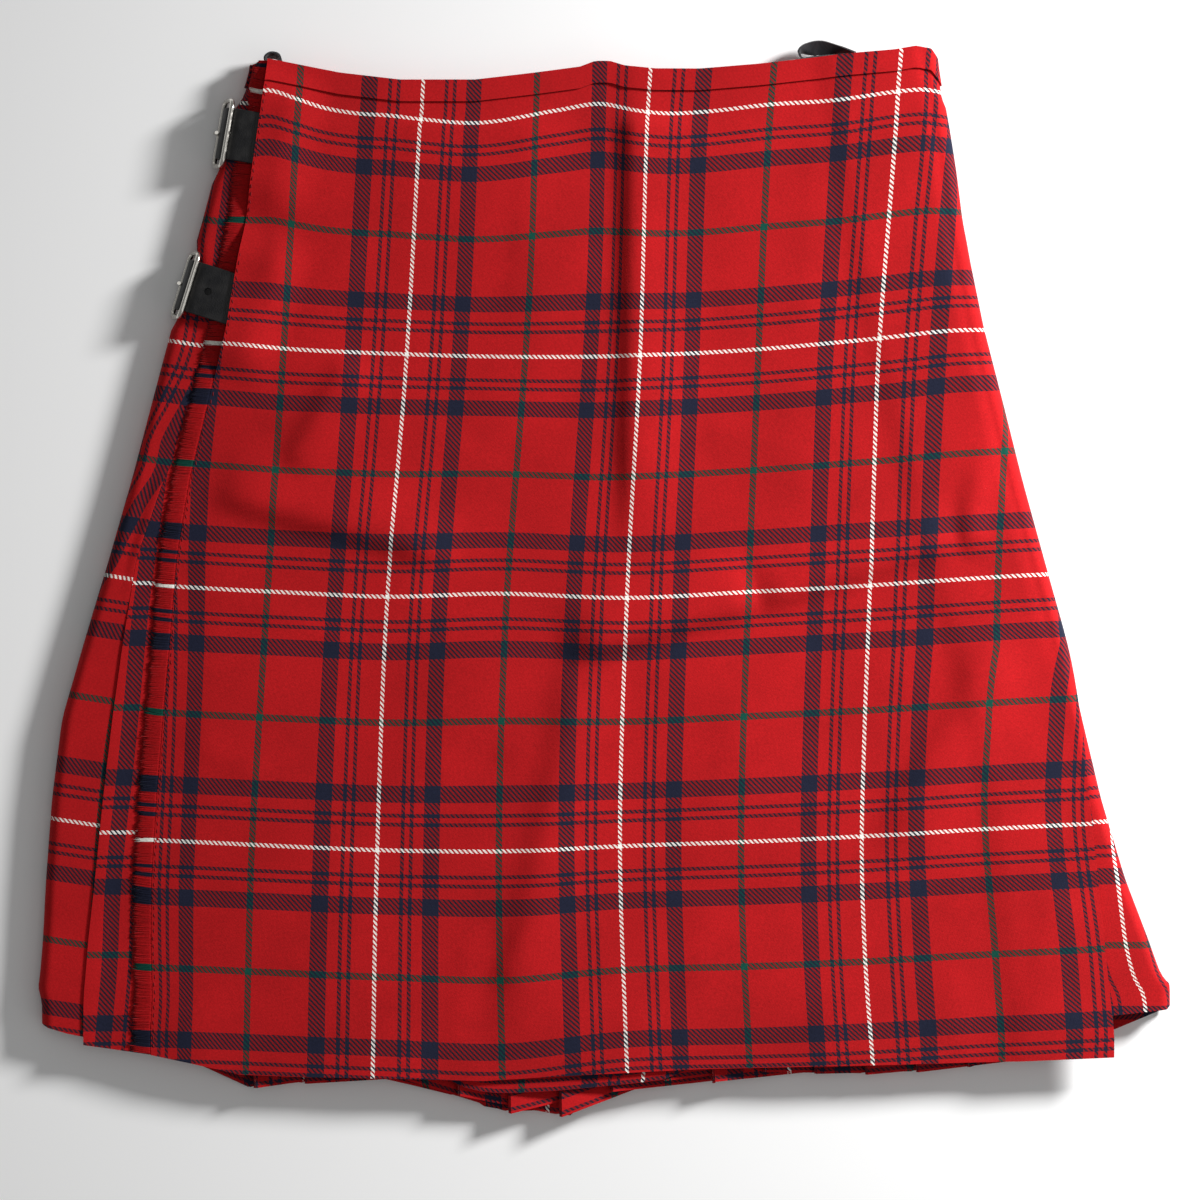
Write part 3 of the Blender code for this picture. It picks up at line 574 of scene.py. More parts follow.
RIGHT_HEIGHTS = LEFT_HEIGHTS
right_points = hang(RIGHT_HEIGHTS, right_side_profile, top_edge_below(1.0), right_side_hem)
right_across = np.array([across_right(y) for y in RIGHT_HEIGHTS[::-1]])
right_down = 3.0 + (RIGHT_THIRD_LINE - right_points[:, :, 1]) / RIGHT_REPEAT
right_side = cloth_shell("right_side_cloth", right_points,
                         np.stack([right_across, right_down], axis=2))
right_side.data.materials.append(kilting_wool)
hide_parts("right_side_pleat")

# The under apron, one flat width of wool on the pleats. Its left edge is folded, and
# shows as the inner of the two left pleats, beside the over apron's fringe.

UNDER_HEM = (
    (-313.0, -280.2), (-276.0, -285.6), (-250.0, -289.0), (-220.0, -295.0), (-100.0, -298.0),
    (-80.0, -307.5), (-61.0, -309.4), (-29.0, -307.8), (15.0, -303.6), (36.0, -301.0),
    (60.0, -291.0), (240.0, -284.0),
)
UNDER_FOLD_HEM = -286.0
UNDER_STRIPE = (
    (-264.6, -299.1), (-231.0, -296.7), (-189.0, -294.9), (-158.4, -292.2), (-126.6, -288.6),
    (-106.8, -286.5), (-76.8, -283.5), (-57.0, -281.7), (-16.8, -277.8), (22.8, -272.4),
    (82.8, -264.0), (166.8, -251.4), (286.8, -233.4),
)
UNDER_REPEATS = ((-226.2, 3.5), (-152.7, 3.0), (-77.7, 2.5), (-3.0, 2.0), (286.8, 0.03))


def under_apron_profile(y):
    line = section("pleat_line", y) + SEAM / 2
    end = right_fold(y) - SEAM - 2.0 * LAYER
    lip = LIP * float(smooth_step(10.0, -50.0, y))
    points = []
    for part in np.concatenate([np.linspace(0.0, 0.05, 9), np.linspace(0.05, 1.0, 60)[1:]]):
        rise = lip * (1.0 - float(smooth_step(0.0, 0.03, part)))
        points.append((line + (end - line) * part, UNDER_LEVEL + rise))
    return points


under_points = hang(LEFT_HEIGHTS, under_apron_profile, top_edge_below(0.5), hem_along(UNDER_HEM))
under_stripe = np.array([[flowing(y, *zip(*UNDER_STRIPE))] for y in LEFT_HEIGHTS[::-1]])
under_across = (under_points[:, :, 0] - under_stripe) / SETT - BROAD_STRIPE
# Away from its left fold the panel hangs a little lower, and its stripes with it
under_drop = np.minimum(edge_height(UNDER_HEM, under_points[:, :, 0]) - UNDER_FOLD_HEM, 0.0)
under_down = flowing(under_points[:, :, 1] - under_drop, *zip(*UNDER_REPEATS))
under_apron = cloth_shell("under_apron_cloth", under_points,
                          np.stack([under_across, under_down], axis=2))
under_apron.data.materials.append(kilting_wool)
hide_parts("under_apron")

# The over apron, the flat front of the kilt. One width of wool lies over the under apron
# and rolls round the right side, free at its lower right. Handling has left it in soft
# folds: a long one down from the waist, and slack ones that run out across the hips.

WRAP_ANGLE = 136.0
PEEL_LOOSENESS = 0.5
CHAPE = 1.2
LEATHER = 2.2
STRAP_WIDTH = 31.0
CHAPE_TUCK = 8.0
CHAPE_RISE = 42.0
CHAPE_LEVEL = APRON_LEVEL + CLOTH / 2 + SEAM + CHAPE / 2
STRAP_LEVEL = APRON_LEVEL + CLOTH / 2 + SEAM + CHAPE + SEAM + LEATHER / 2
APRON_HEM = (
    (-271.8, -286.2), (-248.4, -291.0), (-217.8, -298.0), (-178.0, -299.4), (-108.0, -300.6),
    (-74.4, -301.8), (-16.0, -298.2), (57.6, -294.6), (162.6, -292.2), (248.4, -289.8),
    (305.6, -287.4),
)
Strap = namedtuple("Strap", "name x y turn apron_distance holes")
STRAP_ROWS = (
    Strap("upper", -232.0, 267.6, 170.0, 25.0, ()),
    Strap("lower", -254.6, 177.0, 162.5, 33.4, (18.3,)),
)
# Folds: both ends of each crest, its height, and the half width of its steep side, to the
# left on the way from first to last end, and of its gentle side
Fold = namedtuple("Fold", "x0 y0 x1 y1 height steep gentle")
MAIN_FOLDS = (
    Fold(17.0, 40.0, 19.0, 318.0, 3.0, 8.0, 26.0),
    Fold(92.0, -13.0, -16.0, -43.0, 3.8, 8.0, 24.0),
    Fold(206.0, 22.0, 92.0, -13.0, 3.2, 8.0, 24.0),
    Fold(218.0, 20.0, 236.0, 92.0, 2.4, 9.0, 18.0),
    Fold(-100.0, 16.0, -228.0, 50.0, 2.6, 8.0, 22.0),
    Fold(-188.0, 66.0, -152.0, 128.0, 1.8, 9.0, 18.0),
    Fold(176.0, -150.0, 234.0, -44.0, 2.0, 12.0, 22.0),
    Fold(-56.0, -256.0, -14.0, -60.0, 1.8, 12.0, 22.0),
)
# The cloth's folds stand higher than its solid's, so that they show from straight above
FOLD_DEPTH = 1.75
SMALL_FOLDS = (
    Fold(-199.0, 160.0, -197.0, 206.0, 0.9, 5.0, 11.0),
    Fold(-62.0, -104.0, -18.0, -70.0, 0.9, 6.0, 15.0),
    Fold(-64.0, -238.0, -36.0, -196.0, 0.9, 5.0, 12.0),
    Fold(-92.0, -282.0, -78.0, -214.0, 0.7, 7.0, 16.0),
    Fold(44.0, -284.0, 62.0, -200.0, 0.7, 8.0, 18.0),
    Fold(-176.0, 214.0, -160.0, 292.0, 0.8, 9.0, 20.0),
    Fold(-122.0, 170.0, -110.0, 284.0, 0.5, 8.0, 22.0),
    Fold(-52.0, 150.0, -44.0, 276.0, 0.6, 8.0, 20.0),
    Fold(118.0, 150.0, 130.0, 262.0, 0.6, 9.0, 24.0),
    Fold(122.0, -44.0, 70.0, -92.0, 0.7, 8.0, 18.0),
    Fold(-206.0, -120.0, -250.0, -96.0, 0.7, 7.0, 16.0),
    Fold(258.0, -268.0, 268.0, -190.0, 0.8, 8.0, 16.0),
    Fold(206.0, -232.0, 214.0, -282.0, 0.5, 7.0, 16.0),
    Fold(-150.0, -40.0, -226.0, -14.0, 0.8, 7.0, 18.0),
    Fold(60.0, 92.0, 130.0, 66.0, 0.6, 8.0, 22.0),
    Fold(-110.0, 92.0, -60.0, 62.0, 0.6, 8.0, 20.0),
)
# Slack that remains in the cloth between folds: wavelengths and turns of gentle waves
WAVES = ((131.0, 0.4, 0.42), (83.0, 1.9, 0.28), (57.0, 2.7, 0.16))
# Guide lines for the tartan, measured in the photograph: where its threads run on the
# laid apron, which handling has pulled out of square. Down lines have rising heights,
# cross lines rising distances
LEFT_EDGE_SETT = (
    (-300.0, -0.935), (-229.2, -0.935), (-73.2, -0.905), (166.8, -0.73), (226.8, -0.68),
    (298.8, -0.64),
)
RIGHT_EDGE_SETT = (
    (-300.0, 2.935), (-228.0, 2.922), (-146.4, 2.935), (-114.6, 2.913), (-58.8, 2.85),
    (1.8, 2.735), (147.0, 2.43), (298.0, 2.18),
)
DOWN_LINES = (
    (-0.5, ((-253.2, -213.9), (-163.2, -211.2), (-43.2, -204.0), (166.8, -190.2),
            (226.8, -186.6), (298.8, -182.4))),
    (0.0, ((-284.4, -138.6), (-170.4, -136.2), (-18.6, -130.3), (126.6, -118.8),
           (290.4, -109.4))),
    (0.7795, ((-304.2, -17.7), (-160.8, -22.5), (-13.2, -18.3), (10.8, -16.8), (172.8, -6.0),
              (298.8, -2.7))),
    (1.0, ((-304.2, 14.4), (-160.8, 9.6), (-12.0, 13.8), (133.8, 21.6), (286.8, 26.4),
           (306.0, 27.6))),
    (2.0, ((-284.4, 160.8), (-230.4, 156.6), (-162.0, 154.6), (-92.4, 156.2), (-11.4, 159.2),
           (63.6, 161.9), (136.8, 164.7), (219.6, 171.0), (291.6, 176.6), (316.8, 178.6))),
)
CROSS_LINES = (
    ((-282.6, -156.8), (-266.4, -157.4), (-182.4, -161.2), (-134.4, -163.2), (-62.4, -163.9),
     (10.8, -160.8), (93.6, -157.8), (157.2, -154.8), (237.6, -150.0), (294.6, -147.2)),
    ((-263.4, -4.6), (-248.4, -5.6), (-182.4, -9.0), (-129.6, -11.2), (-62.4, -9.4),
     (13.8, -12.0), (93.6, -8.0), (161.4, -4.2), (249.6, 1.4), (267.6, 2.2)),
    ((-233.4, 141.0), (-218.4, 139.8), (-182.4, 136.9), (-119.4, 134.2), (-50.4, 132.6),
     (21.6, 133.4), (93.6, 137.2), (166.2, 143.8), (207.6, 148.2), (228.6, 149.0)),
    ((-207.6, 291.0), (-200.4, 291.8), (-185.4, 287.2), (-168.3, 282.0), (-147.6, 278.6),
     (-128.4, 277.4), (-110.4, 275.2), (-75.6, 272.9), (-26.4, 280.8), (-2.4, 284.4),
     (21.6, 279.8), (36.6, 278.4), (60.6, 279.6), (99.6, 284.0), (141.6, 286.8),
     (175.8, 291.6), (192.6, 292.8), (203.4, 291.3)),
)
FLAT_COLUMNS = 150
ROLL_COLUMNS = 22
APRON_HEIGHTS = tuple(sorted(set(even_heights(136) + BAND_HEIGHTS), reverse=True))


def ridge(x, y, fold):
    """Height of one fold at points, steeper on one side and fading towards both ends."""
    run_x = fold.x1 - fold.x0
    run_y = fold.y1 - fold.y0
    length = math.hypot(run_x, run_y)
    along = ((x - fold.x0) * run_x + (y - fold.y0) * run_y) / length
    across = ((y - fold.y0) * run_x - (x - fold.x0) * run_y) / length
    width = np.where(across > 0.0, fold.steep, fold.gentle)
    fade = smooth_step(-0.15 * length, 0.15 * length, along)
    fade = fade * smooth_step(1.15 * length, 0.85 * length, along)
    return fold.height * fade * np.exp(-((across / width) ** 2))


def strap_lift(x, y):
    """How far the apron's edge rides up over the strap ends tucked under it."""
    lift = np.zeros(len(x))
    for strap in STRAP_ROWS:
        direction = math.radians(strap.turn)
        end_x = strap.x - strap.apron_distance * math.cos(direction)
        end_y = strap.y - strap.apron_distance * math.sin(direction)
        across = np.abs((y - end_y) * math.cos(direction) - (x - end_x) * math.sin(direction))
        beyond = (end_x - x) * math.cos(direction) + (end_y - y) * math.sin(direction)
        near = smooth_step(STRAP_WIDTH / 2 + 36.0, STRAP_WIDTH / 2 + 8.0, across)
        far = smooth_step(CHAPE_RISE, CHAPE_TUCK + 4.0, np.maximum(beyond, 0.0))
        lift = np.maximum(lift, near * far)
    return lift * (STRAP_LEVEL + LEATHER / 2 + SEAM + CLOTH / 2 - APRON_LEVEL + 0.2)


def apron_height(x, y):
    """The middle of the over apron's cloth where it lies flat."""
    over_pleat = smooth_step(right_fold(y) - 22.0, right_fold(y) - 4.0, x)
    past_pleat = smooth_step(right_centre(y) - 7.0, right_centre(y), x)
    height = APRON_LEVEL + LAYER * over_pleat * (1.0 - past_pleat * wrap_part(y))
    swell = FOLD_DEPTH * np.max([ridge(x, y, fold) for fold in MAIN_FOLDS], axis=0)
    swell = swell + np.sum([ridge(x, y, fold) for fold in SMALL_FOLDS], axis=0)
    for length, turn, depth in WAVES:
        way = x * math.cos(turn) + y * math.sin(turn)
        swell = swell + depth * (1.0 + np.sin(2.0 * math.pi * way / length + turn))
    calm = smooth_step(section("apron_left", y), section("apron_left", y) + 30.0, x)
    calm = calm * (1.0 - smooth_step(right_centre(y) - 40.0, right_centre(y), x))
    calm = calm * (1.0 - 0.75 * float(smooth_step(270.0, 284.0, y)))
    return height + swell * calm + strap_lift(x, y)


def apron_profile(y):
    """The over apron: flat, then round the right side while there is no free fold edge."""
    left = section("apron_left", y)
    centre = right_centre(y)
    flat_end = min(centre, section("apron_right", y) - 0.5)
    x = np.linspace(left, flat_end, FLAT_COLUMNS)
    points = list(zip(x, apron_height(x, y)))
    reach = (section("apron_right", y) - centre) / (APRON_RADIUS + CLOTH / 2)
    edge_angle = math.degrees(math.asin(min(max(reach, 0.06), 1.0)))
    last = edge_angle + (WRAP_ANGLE - edge_angle) * wrap_part(y)
    end_x, end_z = points[-1]
    middle = SIDE_CENTRE + band_raise(y) / 2
    extra = end_z - APRON_LEVEL
    loose = PEEL_LOOSENESS * math.sin(math.pi * wrap_part(y))
    for angle in np.linspace(0.0, last, ROLL_COLUMNS + 1)[1:]:
        spread = APRON_LEVEL - middle + extra * (1.0 - smooth_step(0.0, 80.0, angle))
        spread += loose * smooth_step(0.0, 30.0, angle)
        turn = math.radians(angle)
        points.append((end_x + spread * math.sin(turn), middle + spread * math.cos(turn)))
    return points


def apron_across(y):
    """The place across the tartan of each point of the apron at a height."""
    line = np.array(apron_profile(y))
    along = distances(line)
    places = [section("apron_left", y)] + [flowing(y, *zip(*path)) for _, path in DOWN_LINES]
    setts = [flowing(y, *zip(*LEFT_EDGE_SETT))] + [sett for sett, _ in DOWN_LINES]
    across = flowing(line[:, 0], places, setts)
    rim = int(np.argmax(line[:, 0]))
    start = place_on(places[-1], line[: rim + 1, 0], along[: rim + 1])
    pace = (flowing(y, *zip(*RIGHT_EDGE_SETT)) - setts[-1]) / (along[rim] - start)
    beyond = setts[-1] + (along - start) * pace
    return np.where(along > start, beyond, across)


def apron_down(points):
    """The place down the tartan of rows of points on the apron."""
    x, y, _ = np.moveaxis(points, 2, 0)
    lines = [flowing(x, *zip(*path)) for path in CROSS_LINES]
    down = np.empty(x.shape)
    for spot in np.ndindex(x.shape):
        down[spot] = flowing(y[spot], [line[spot] for line in lines], (3.0, 2.0, 1.0, 0.0))
    return down


apron_points = hang(APRON_HEIGHTS, apron_profile, top_edge_below(0.0), hem_along(APRON_HEM))
apron_setts = np.stack([np.array([apron_across(y) for y in APRON_HEIGHTS[::-1]]),
                        apron_down(apron_points)], axis=2)
over_apron = cloth_shell("over_apron_cloth", apron_points, apron_setts)
over_apron.data.materials.append(kilting_wool)
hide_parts("over_apron")

# The fringe down the apron's left edge. The warp is drawn out there, so what hangs free
# is weft yarn: close, soft, a little uneven, each strand in the colour of its own row.

FRINGE_STRANDS = 2600
FRINGE_LENGTH = 11.2
FRINGE_RADIUS = 0.4
FRINGE_TAPER = 0.45
FRINGE_SEGMENTS = 5
FRINGE_SIDES = 3
FRINGE_SEED = 7
# How far the strands start inside the edge and below its face, and how they hang
ROOT_INSET = 0.8
ROOT_SINK = 0.1
STRAND_DROOP = 0.35
STRAND_CREST = 0.25
# Neighbours drift together: the step from one to the next, the number that the drift
# evens out over, and its part in their length and lean
DRIFT_STEP = 0.10
DRIFT_WINDOW = 61
LENGTH_DRIFT = 0.10
LEAN_DRIFT = 0.2
# How much single strands differ from their neighbours
LENGTH_SPREAD = 0.07
LEAN_SPREAD = 0.22
BOW_SPREAD = 0.12
LEVEL_SPREAD = 0.14
# The whole fringe sways in slow waves down the edge, and is shorter up at the waist
SWAY = 0.9
SWAY_WAVES = (11.0, 37.0)
SHORTER_TOP = 0.25
SHORTER_FROM = 262.0
SHORTER_TO = 280.0


def strand_mesh(name):
    """One strand along -x with its root at the origin, as a thin tapered prism."""
    bpy.ops.object.select_all(action="DESELECT")
    bpy.ops.mesh.primitive_grid_add(x_subdivisions=FRINGE_SIDES, y_subdivisions=FRINGE_SEGMENTS)
    obj = bpy.context.object
    obj.name = name
    points = []
    for step in range(FRINGE_SEGMENTS + 1):
        part = step / FRINGE_SEGMENTS
        radius = FRINGE_RADIUS * (1.0 - FRINGE_TAPER * part**3)
        for side in range(FRINGE_SIDES + 1):
            turn = 2.0 * math.pi * side / FRINGE_SIDES
            points.append((-part, radius * math.sin(turn), radius * math.cos(turn)))
    obj.data.vertices.foreach_set("co", np.array(points).ravel())
    bpy.ops.object.mode_set(mode="EDIT")
    bpy.ops.mesh.select_all(action="SELECT")
    bpy.ops.mesh.remove_doubles(threshold=0.0001)
    bpy.ops.mesh.select_all(action="DESELECT")
    bpy.ops.mesh.select_non_manifold()
    bpy.ops.mesh.edge_face_add()
    bpy.ops.mesh.select_all(action="SELECT")
    bpy.ops.mesh.normals_make_consistent(inside=False)
    bpy.ops.object.mode_set(mode="OBJECT")
    return obj


fringe = strand_mesh("fringe_cloth")
strand_points = np.array([tuple(vertex.co) for vertex in fringe.data.vertices])
strand_faces = [tuple(face.vertices) for face in fringe.data.polygons]
edge_line = apron_points[:, 0, :]
edge_setts = apron_setts[:, 0, 1]
chance = np.random.default_rng(FRINGE_SEED)
strand_rows = np.linspace(edge_line[0, 1] + 1.0, edge_line[-1, 1] - 1.0, FRINGE_STRANDS)
fringe_points = []
fringe_faces = []
fringe_setts = []
drift = np.cumsum(chance.normal(0.0, DRIFT_STEP, FRINGE_STRANDS))
drift -= np.convolve(drift, np.ones(DRIFT_WINDOW) / DRIFT_WINDOW, mode="same")
for index, y in enumerate(strand_rows):
    root_x = np.interp(y, edge_line[:, 1], edge_line[:, 0])
    length = FRINGE_LENGTH * (1.0 + LENGTH_DRIFT * drift[index] + chance.normal(0.0, LENGTH_SPREAD))
    length *= 1.0 - SHORTER_TOP * float(smooth_step(SHORTER_FROM, SHORTER_TO, y))
    sway = SWAY + SWAY * math.sin(y / SWAY_WAVES[0]) * math.sin(y / SWAY_WAVES[1])
    lean = sway + LEAN_DRIFT * drift[index] + chance.normal(0.0, LEAN_SPREAD)
    bow = chance.normal(0.0, BOW_SPREAD)
    level = APRON_LEVEL - ROOT_SINK + chance.uniform(-LEVEL_SPREAD, LEVEL_SPREAD)
    part = -strand_points[:, 0]
    x = root_x + ROOT_INSET - (length + ROOT_INSET) * part
    across = y + strand_points[:, 1] + lean * part**1.5 + bow * np.sin(math.pi * part)
    droop = STRAND_DROOP * chance.uniform(0.2, 1.0) * part
    z = level + strand_points[:, 2] - droop + STRAND_CREST * np.sin(math.pi * part)
    offset = len(fringe_points) * len(strand_points)
    fringe_points.append(np.stack([x, across, z], axis=1))
    fringe_faces += [tuple(corner + offset for corner in face) for face in strand_faces]
    fringe_setts += [np.interp(y, edge_line[:, 1], edge_setts)] * len(strand_points)
fringe_mesh = bpy.data.meshes.new("fringe_cloth")
fringe_mesh.from_pydata(np.concatenate(fringe_points) * MM, [], fringe_faces)
fringe.data = fringe_mesh
fringe_layer = fringe_mesh.uv_layers.new(name="Threads")
fringe_corners = np.empty(len(fringe_mesh.loops), np.int32)
fringe_mesh.loops.foreach_get("vertex_index", fringe_corners)
fringe_down = np.array(fringe_setts)[fringe_corners]
fringe_layer.data.foreach_set(
    "uv", np.stack([np.full(len(fringe_down), 0.3), fringe_down], axis=1).ravel()
)
bpy.ops.object.shade_smooth()
fringe_yarn = tartan_wool("wool_yarn_ends", woven=False)
fringe.data.materials.append(fringe_yarn)
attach(fringe, "root")
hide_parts("apron_fringe")

# Hand stitches that stop the fringed edge from running. A row of small red thread
# stitches lies a little inside the edge, each one pulled slightly into the wool.

STITCH_INSET = 1.3
STITCH_PITCH = 4.6
STITCH_LENGTH = 2.8
STITCH_RADIUS = 0.32
STITCH_MARGIN = 4.0
STITCH_TURN = math.radians(96.0)
TURN_SPREAD = 0.12
STITCH_SPREAD = 0.2
STITCH_SEED = 11


def thread_material(name, code):
    """Twisted sewing thread pulled down between its ribs, darker red than the cloth, partly painted
    shade.
    """
    material, tree = new_material(name)
    spot = add_node(tree, "ShaderNodeTexCoord").outputs["Object"]
    twist = add_node(tree, "ShaderNodeTexNoise", {"Scale": 2200.0, "Detail": 1.0},
                     {"Vector": spot})
    tone = add_node(tree, "ShaderNodeMix", {"data_type": "RGBA", 6: srgb(code),
                                            7: srgb("4E090D")}, {0: twist.outputs["Fac"]})
    shader = add_node(tree, "ShaderNodeBsdfPrincipled",
                      {"Roughness": 0.75, "Specular IOR Level": 0.2},
                      {"Base Color": tone.outputs[2]})
    add_node(tree, "ShaderNodeOutputMaterial", links={"Surface": shader.outputs["BSDF"]})
    return material


def add_stitches(name, spots, material):
    """Short rounded stitches at points, each with the way it runs, as one mesh."""
    bpy.ops.object.select_all(action="DESELECT")
    bpy.ops.mesh.primitive_uv_sphere_add(segments=8, ring_count=6, radius=1.0)
    obj = bpy.context.object
    obj.name = name
    shape = np.array([tuple(vertex.co) for vertex in obj.data.vertices])
    faces = [tuple(face.vertices) for face in obj.data.polygons]
    points = []
    joined = []
    for x, y, z, turn in spots:
        local = shape * (STITCH_LENGTH / 2, STITCH_RADIUS, STITCH_RADIUS)
        c, s = math.cos(turn), math.sin(turn)
        moved = np.stack([x + local[:, 0] * c - local[:, 1] * s,
                          y + local[:, 0] * s + local[:, 1] * c, z + local[:, 2]], axis=1)
        joined += [tuple(corner + len(points) * len(shape) for corner in face) for face in faces]
        points.append(moved)
    mesh = bpy.data.meshes.new(name)
    mesh.from_pydata(np.concatenate(points) * MM, [], joined)
    obj.data = mesh
    bpy.ops.object.shade_smooth()
    mesh.materials.append(material)
    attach(obj, "root")
    return obj


# The dark red of these stitches is partly the thread's own colour and partly painted shade for the
# shadow line along the root of the fringe
red_thread_and_painted_shade = thread_material("red_sewing_thread_and_painted_shade", "86101A")
stitch_chance = np.random.default_rng(STITCH_SEED)
stitch_spots = []
first_stitch = edge_line[-1, 1] - BAND_WIDTH - STITCH_MARGIN
for y in np.arange(first_stitch, edge_line[0, 1] + STITCH_MARGIN, -STITCH_PITCH):
    row = int(np.argmin(np.abs(edge_line[:, 1] - y)))
    x = np.interp(y, edge_line[:, 1], edge_line[:, 0]) + STITCH_INSET
    z = np.interp(x, apron_points[row, :8, 0], apron_points[row, :8, 2]) + SHELL / 2
    turn = STITCH_TURN + stitch_chance.normal(0.0, TURN_SPREAD)
    stitch_spots.append((x + stitch_chance.normal(0.0, STITCH_SPREAD), y, z, turn))
edge_stitches = add_stitches("apron_edge_stitches", stitch_spots, red_thread_and_painted_shade)

# The waistband, a narrow strip of the same wool sewn over the top of the apron and round
# the back, cut where the cloth is plain red down its width, with the stripes across it
# matched to the cloth below. Its lower edge is turned in.

BAND_ROWS = 7
BAND_SETT = 0.36


def moved_out(profile, distance):
    """A line of points shifted to its left side, as it runs, by an even distance."""
    line = np.array(profile, float)
    step = np.diff(line, axis=0)
    step /= np.linalg.norm(step, axis=1)[:, None]
    side = np.stack([-step[:, 1], step[:, 0]], axis=1)
    before = np.vstack([side[:1], side])
    after = np.vstack([side, side[-1:]])
    spread = 1.0 + (before * after).sum(axis=1)
    return line + distance * (before + after) / spread[:, None]


def front_band_profile(y):
    """Over the apron and round the right side, ending clear of the floor."""
    return moved_out(apron_profile(y), LAYER)[: -ROLL_COLUMNS // 4]


def back_band_profile(y):
    """Round the left side, then flat on the floor across the pleats to the right side."""
    drawn = band_raise(y) / 2
    left = section("left", y) + SIDE_RADIUS + CLOTH / 2 + drawn
    radius = SIDE_RADIUS - drawn + LAYER
    points = arc(left, SIDE_CENTRE + drawn, radius, 300.0, 180.0, 13)
    return points + run_between(points[-1], (right_centre(y) + 2.0, FLOOR_LEVEL), 40)


def band_points(profile, drop):
    rows = []
    for below in np.linspace(BAND_WIDTH, 0.0, BAND_ROWS):
        x, z = np.array(profile(TOP_LEVEL - below)).T
        rows.append(np.stack([x, edge_height(TOP_EDGE, x) - drop - below, z], axis=1))
    return np.array(rows)


band_down = BAND_SETT + np.linspace(BAND_WIDTH, 0.0, BAND_ROWS)[:, None] / SETT
front_band_points = band_points(front_band_profile, 0.0)
front_band_across = np.array([
    apron_across(TOP_LEVEL - below)[: -ROLL_COLUMNS // 4]
    for below in np.linspace(BAND_WIDTH, 0.0, BAND_ROWS)
])
front_band = cloth_shell(
    "waistband_front_cloth", front_band_points,
    np.stack(np.broadcast_arrays(front_band_across, band_down), axis=2),
)
front_band.data.materials.append(kilting_wool)
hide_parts("waistband_front")
back_band_points = band_points(back_band_profile, 1.0)
back_band_across = BROAD_STRIPE - np.array([distances(line[:, ::2]) for line in
                                            back_band_points]) / SETT
back_band = cloth_shell(
    "waistband_back_cloth", back_band_points,
    np.stack(np.broadcast_arrays(back_band_across, band_down), axis=2),
)
back_band.data.materials.append(kilting_wool)
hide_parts("waistband_back")

# The chapes and straps: black bridle leather, cut, edged and dyed. A thin chape holds each
# buckle, and a thicker strap comes up round the side, through the frame, to the apron.

STRAP_TUCK = 4.5
CHAPE_INSET = 2.0
HOLE_RADIUS = 2.3
STRAP_ROUTE = (
    (124.0, 8.9), (112.0, 9.7), (104.0, 10.4), (90.0, 11.2), (66.0, 11.9), (45.0, 11.6),
    (27.0, 11.1), (12.0, 11.7),
)
CHAPE_ROUTE = ((53.0, 8.7), (28.0, 8.9), (14.0, 9.4))
OUTER_BAR = (104.0, 13.4)
STRAP_STEP = 1.5
STRAP_COLUMNS = 13


def polar(turn, radius):
    """Along and height of a place round the left side, from the middle of its roll."""
    angle = math.radians(turn)
    return (radius * math.sin(angle), SIDE_CENTRE + radius * math.cos(angle))


BAR_ALONG = polar(*OUTER_BAR)[0]


def strap_place(strap, along, across, z):
    """Puts points given along, across and above the strap in the kilt."""
    direction = math.radians(strap.turn)
    out = np.asarray(along) - BAR_ALONG
    x = strap.x + out * math.cos(direction) - across * math.sin(direction)
    y = strap.y + out * math.sin(direction) + across * math.cos(direction)
    return np.stack(np.broadcast_arrays(x, y, z), axis=-1)


def smooth_path(points, step):
    """Points at an even step along a smooth curve through a few."""
    along = distances(points)
    places = np.linspace(0.0, along[-1], max(int(along[-1] / step), 2) + 1)
    return np.stack([flowing(places, along, axis) for axis in zip(*points)], axis=1)


def black_leather():
    """Bridle leather: fine pebbled grain, a waxed half gloss, and browner worn patches."""
    material, tree = new_material("black_bridle_leather")
    spot = add_node(tree, "ShaderNodeTexCoord").outputs["Object"]
    pores = add_node(tree, "ShaderNodeTexVoronoi", {"Scale": 1100.0, "Randomness": 1.0},
                     {"Vector": spot})
    wear = add_node(tree, "ShaderNodeTexNoise", {"Scale": 140.0, "Detail": 4.0},
                    {"Vector": spot})
    worn = add_node(tree, "ShaderNodeMapRange", {1: 0.42, 2: 0.72, 3: 0.0, 4: 1.0},
                    {0: wear.outputs["Fac"]})
    tone = add_node(tree, "ShaderNodeMix", {"data_type": "RGBA", 6: srgb("0E0E10"),
                                            7: srgb("1E1D1D")}, {0: worn.outputs[0]})
    gloss = add_node(tree, "ShaderNodeMapRange", {1: 0.3, 2: 0.7, 3: 0.30, 4: 0.46},
                     {0: wear.outputs["Fac"]})
    grain = add_node(tree, "ShaderNodeBump", {"Strength": 0.35, "Distance": 0.0002},
                     {"Height": pores.outputs["Distance"]})
    shader = add_node(tree, "ShaderNodeBsdfPrincipled", {"IOR": 1.5, "Specular IOR Level": 0.4},
                      {"Base Color": tone.outputs[2], "Roughness": gloss.outputs[0],
                       "Normal": grain.outputs["Normal"]})
    add_node(tree, "ShaderNodeOutputMaterial", links={"Surface": shader.outputs["BSDF"]})
    return material


bridle_leather = black_leather()


def leather_strip(name, strap, path, half_width, thickness, edge):
    """A strip of leather along a path of along and height, with eased edges."""
    line = smooth_path(path, STRAP_STEP)
    across = np.linspace(-half_width, half_width, STRAP_COLUMNS)
    points = strap_place(strap, line[:, :1], across[None, :], line[:, 1:])
    setts = np.stack(np.broadcast_arrays(across[None, :], distances(line)[:, None]), axis=2)
    obj = cloth_shell(name, points, setts * MM, thickness)
    eased = obj.modifiers.new("Edges", "BEVEL")
    eased.width = edge * MM
    eased.segments = 3
    eased.limit_method = "ANGLE"
    eased.angle_limit = math.radians(60.0)
    bpy.ops.object.modifier_apply(modifier=eased.name)
    return obj


